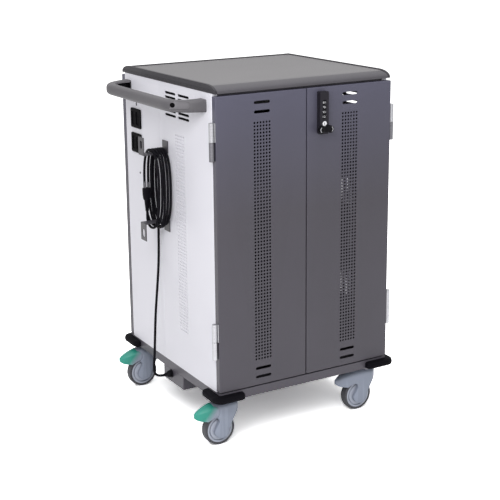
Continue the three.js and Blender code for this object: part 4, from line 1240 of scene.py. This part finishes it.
def build_casters():
    forks = {True: fork_template(True), False: fork_template(False)}
    pedal = pedal_template()
    tyre = wheel_template("tyre", TYRE_PROFILE)
    hub = wheel_template("hub", HUB_PROFILE)
    stem = stem_template()
    for label in CORNERS:
        braked = label.endswith("left")
        swivel = Vector(joints[f"caster_{label}_swivel"]["pos_m"])
        axle = Vector(joints[f"wheel_{label}_roll"]["pos_m"])
        place = Matrix.Translation((swivel.x, swivel.y, 0)) @ Matrix.Rotation(math.pi, 4, "Z")
        fork = copy_of(forks[braked], f"fork_{label}", place)
        dress(fork, caster_plastic, f"caster_{label}", "caster_grey", f"caster_fork_{label}",
              angle=40, curved=True)
        stem_piece = copy_of(stem, f"stem_{label}", place)
        dress(stem_piece, dull_and_shaded_zinc, f"caster_{label}", "bright_steel")
        centre = Matrix.Translation(axle)
        tyre_piece = copy_of(tyre, f"tread_{label}", centre)
        dress(tyre_piece, tyre_rubber, f"wheel_{label}", "tread", f"tyre_{label}")
        hub_piece = copy_of(hub, f"hub_{label}", centre)
        dress(hub_piece, hub_plastic, f"wheel_{label}", "caster_grey", f"wheel_hub_{label}")
        if braked:
            pedal_piece = copy_of(pedal, f"pedal_plate_{label}", place)
            dress(pedal_piece, pedal_plastic, f"pedal_{label}", "pedal_green", f"brake_pedal_{label}",
                  angle=40, curved=True)
    for template in (*forks.values(), pedal, tyre, hub, stem):
        bpy.data.objects.remove(template)


build_casters()

for label in CORNERS:
    refine(f"bumper_{label}", bumper_rubber, "bumper_rubber", width=0.8, angle=60)


OUTLET_POCKET = 2.5 * MM
OUTLET_HALF_PITCH = 14.75 * MM
OPENING_SPAN = (-0.2 * MM, 0.3 * MM)
RAIL_OPENING_SPAN = (-0.3 * MM, 0.05 * MM)


def socket_outlines(u, v):
    """Two blade slots over an earth hole."""
    return [
        stadium(u - 4 * MM, v + 5 * MM, 2 * MM, 9 * MM),
        stadium(u + 4 * MM, v + 5 * MM, 2 * MM, 8 * MM),
        stadium(u, v - 8 * MM, 5 * MM, 5 * MM),
    ]


# Socket openings in the two flush outlets and along the rails behind the rear door, drawn as flat black
# shapes: painted shade for the holes
def build_sockets():
    openings = []
    for level in ("upper", "lower"):
        low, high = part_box(f"power_outlet_{level}")
        span = [low.x + OUTLET_POCKET + depth for depth in OPENING_SPAN]
        middle = (low + high) / 2
        for side in (-1, 1):
            for outline in socket_outlines(middle.y + side * OUTLET_HALF_PITCH, middle.z):
                openings.append(prism("opening", outline, *span, ALONG_X))
    dress(join("outlet_openings", openings), deep_black, "cabinet", "black_plastic")
    openings = []
    for level in ("lower", "middle", "upper"):
        low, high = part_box(f"outlet_rail_{level}")
        span = [high.y + depth for depth in RAIL_OPENING_SPAN]
        z = (low.z + high.z) / 2
        pitch = (high.x - low.x) / RAIL_SOCKETS
        for i in range(RAIL_SOCKETS):
            for outline in socket_outlines(low.x + (i + 0.5) * pitch, z):
                openings.append(prism("opening", outline, *span, ALONG_Y))
    dress(join("rail_socket_openings", openings), deep_black, "cabinet", "black_plastic")


STRIP_SHEET = 3 * MM
STRIP_DROP = 26 * MM
STRIP_FRONT = 2.5 * MM
STRIP_REAR = 5.5 * MM
STRIP_SIDE = 4 * MM
PANEL_SHEET = 3 * MM
SHADE_SHEET = 1.5 * MM
SLOTS_BACK = -74 * MM
SLOTS_REACH = 85 * MM
SLOTS_LOW = 961 * MM
SLOTS_HIGH = 1045 * MM
SCREW_RADIUS = 3.5
SCREW_PLACE = (193 * MM, 754 * MM)
LATCH_PLACE = (206 * MM, 974 * MM)
LATCH_SIZE = (6 * MM, 12 * MM)
LATCH_PROUD = 0.8 * MM


# Dark strips behind the gaps over the doors
def build_strips():
    under_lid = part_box("worktop")[0].z
    left = panel_low.x + STRIP_SIDE
    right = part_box("side_panel_right")[1].x - STRIP_SIDE
    for name, y in (("front", panel_low.y + STRIP_FRONT), ("rear", panel_high.y - STRIP_REAR)):
        strip = block(f"door_stop_{name}", (left, y, under_lid - STRIP_DROP),
                      (right, y + STRIP_SHEET, under_lid - SEAT))
        round_edges(strip, 0.5 * MM)
        dress(strip, charcoal, "cabinet", "charcoal_paint")


# A black sheet behind the slots of the cord's side: painted shade that darkens the view through them
def build_screen():
    inner = wall_x + PANEL_SHEET
    y = panel_middle + SLOTS_BACK
    shade_sheet = block("dust_screen", (inner + 0.2 * MM, y - SLOTS_REACH, SLOTS_LOW),
                   (inner + SHADE_SHEET, y + SLOTS_REACH, SLOTS_HIGH))
    round_edges(shade_sheet, 0.3 * MM)
    dress(shade_sheet, deep_black, "cabinet", "black_plastic")


def screw_head(name, place, turn, radius):
    dome = [(0, 0), (radius, 0), (radius, 0.4), (radius * 0.8, 1.1), (radius * 0.4, 1.5), (0, 1.6)]
    head = lathe(name, dome, 32)
    carve(head, prism("socket", circle(0, 0, radius * 0.45, count=6), 0.6, 3))
    head.data.transform(Matrix.Translation(place) @ turn.to_4x4() @ Matrix.Scale(MM, 4))
    return head


def build_screws():
    turn = Matrix.Rotation(-math.pi / 2, 3, "Y")
    back, height = SCREW_PLACE
    head = screw_head("panel_screw", (wall_x, panel_middle + back, height), turn, SCREW_RADIUS)
    dress(head, hook_coat, "cabinet", "bracket_grey")
    back, height = LATCH_PLACE
    outline = stadium(panel_middle + back, height, *LATCH_SIZE)
    rim = prism("latch_slot", outline, wall_x - LATCH_PROUD, wall_x, ALONG_X)
    round_edges(rim, 0.4 * MM)
    dress(rim, outlet_black, "cabinet", "black_plastic")


build_sockets()
build_strips()
build_screen()
build_screws()
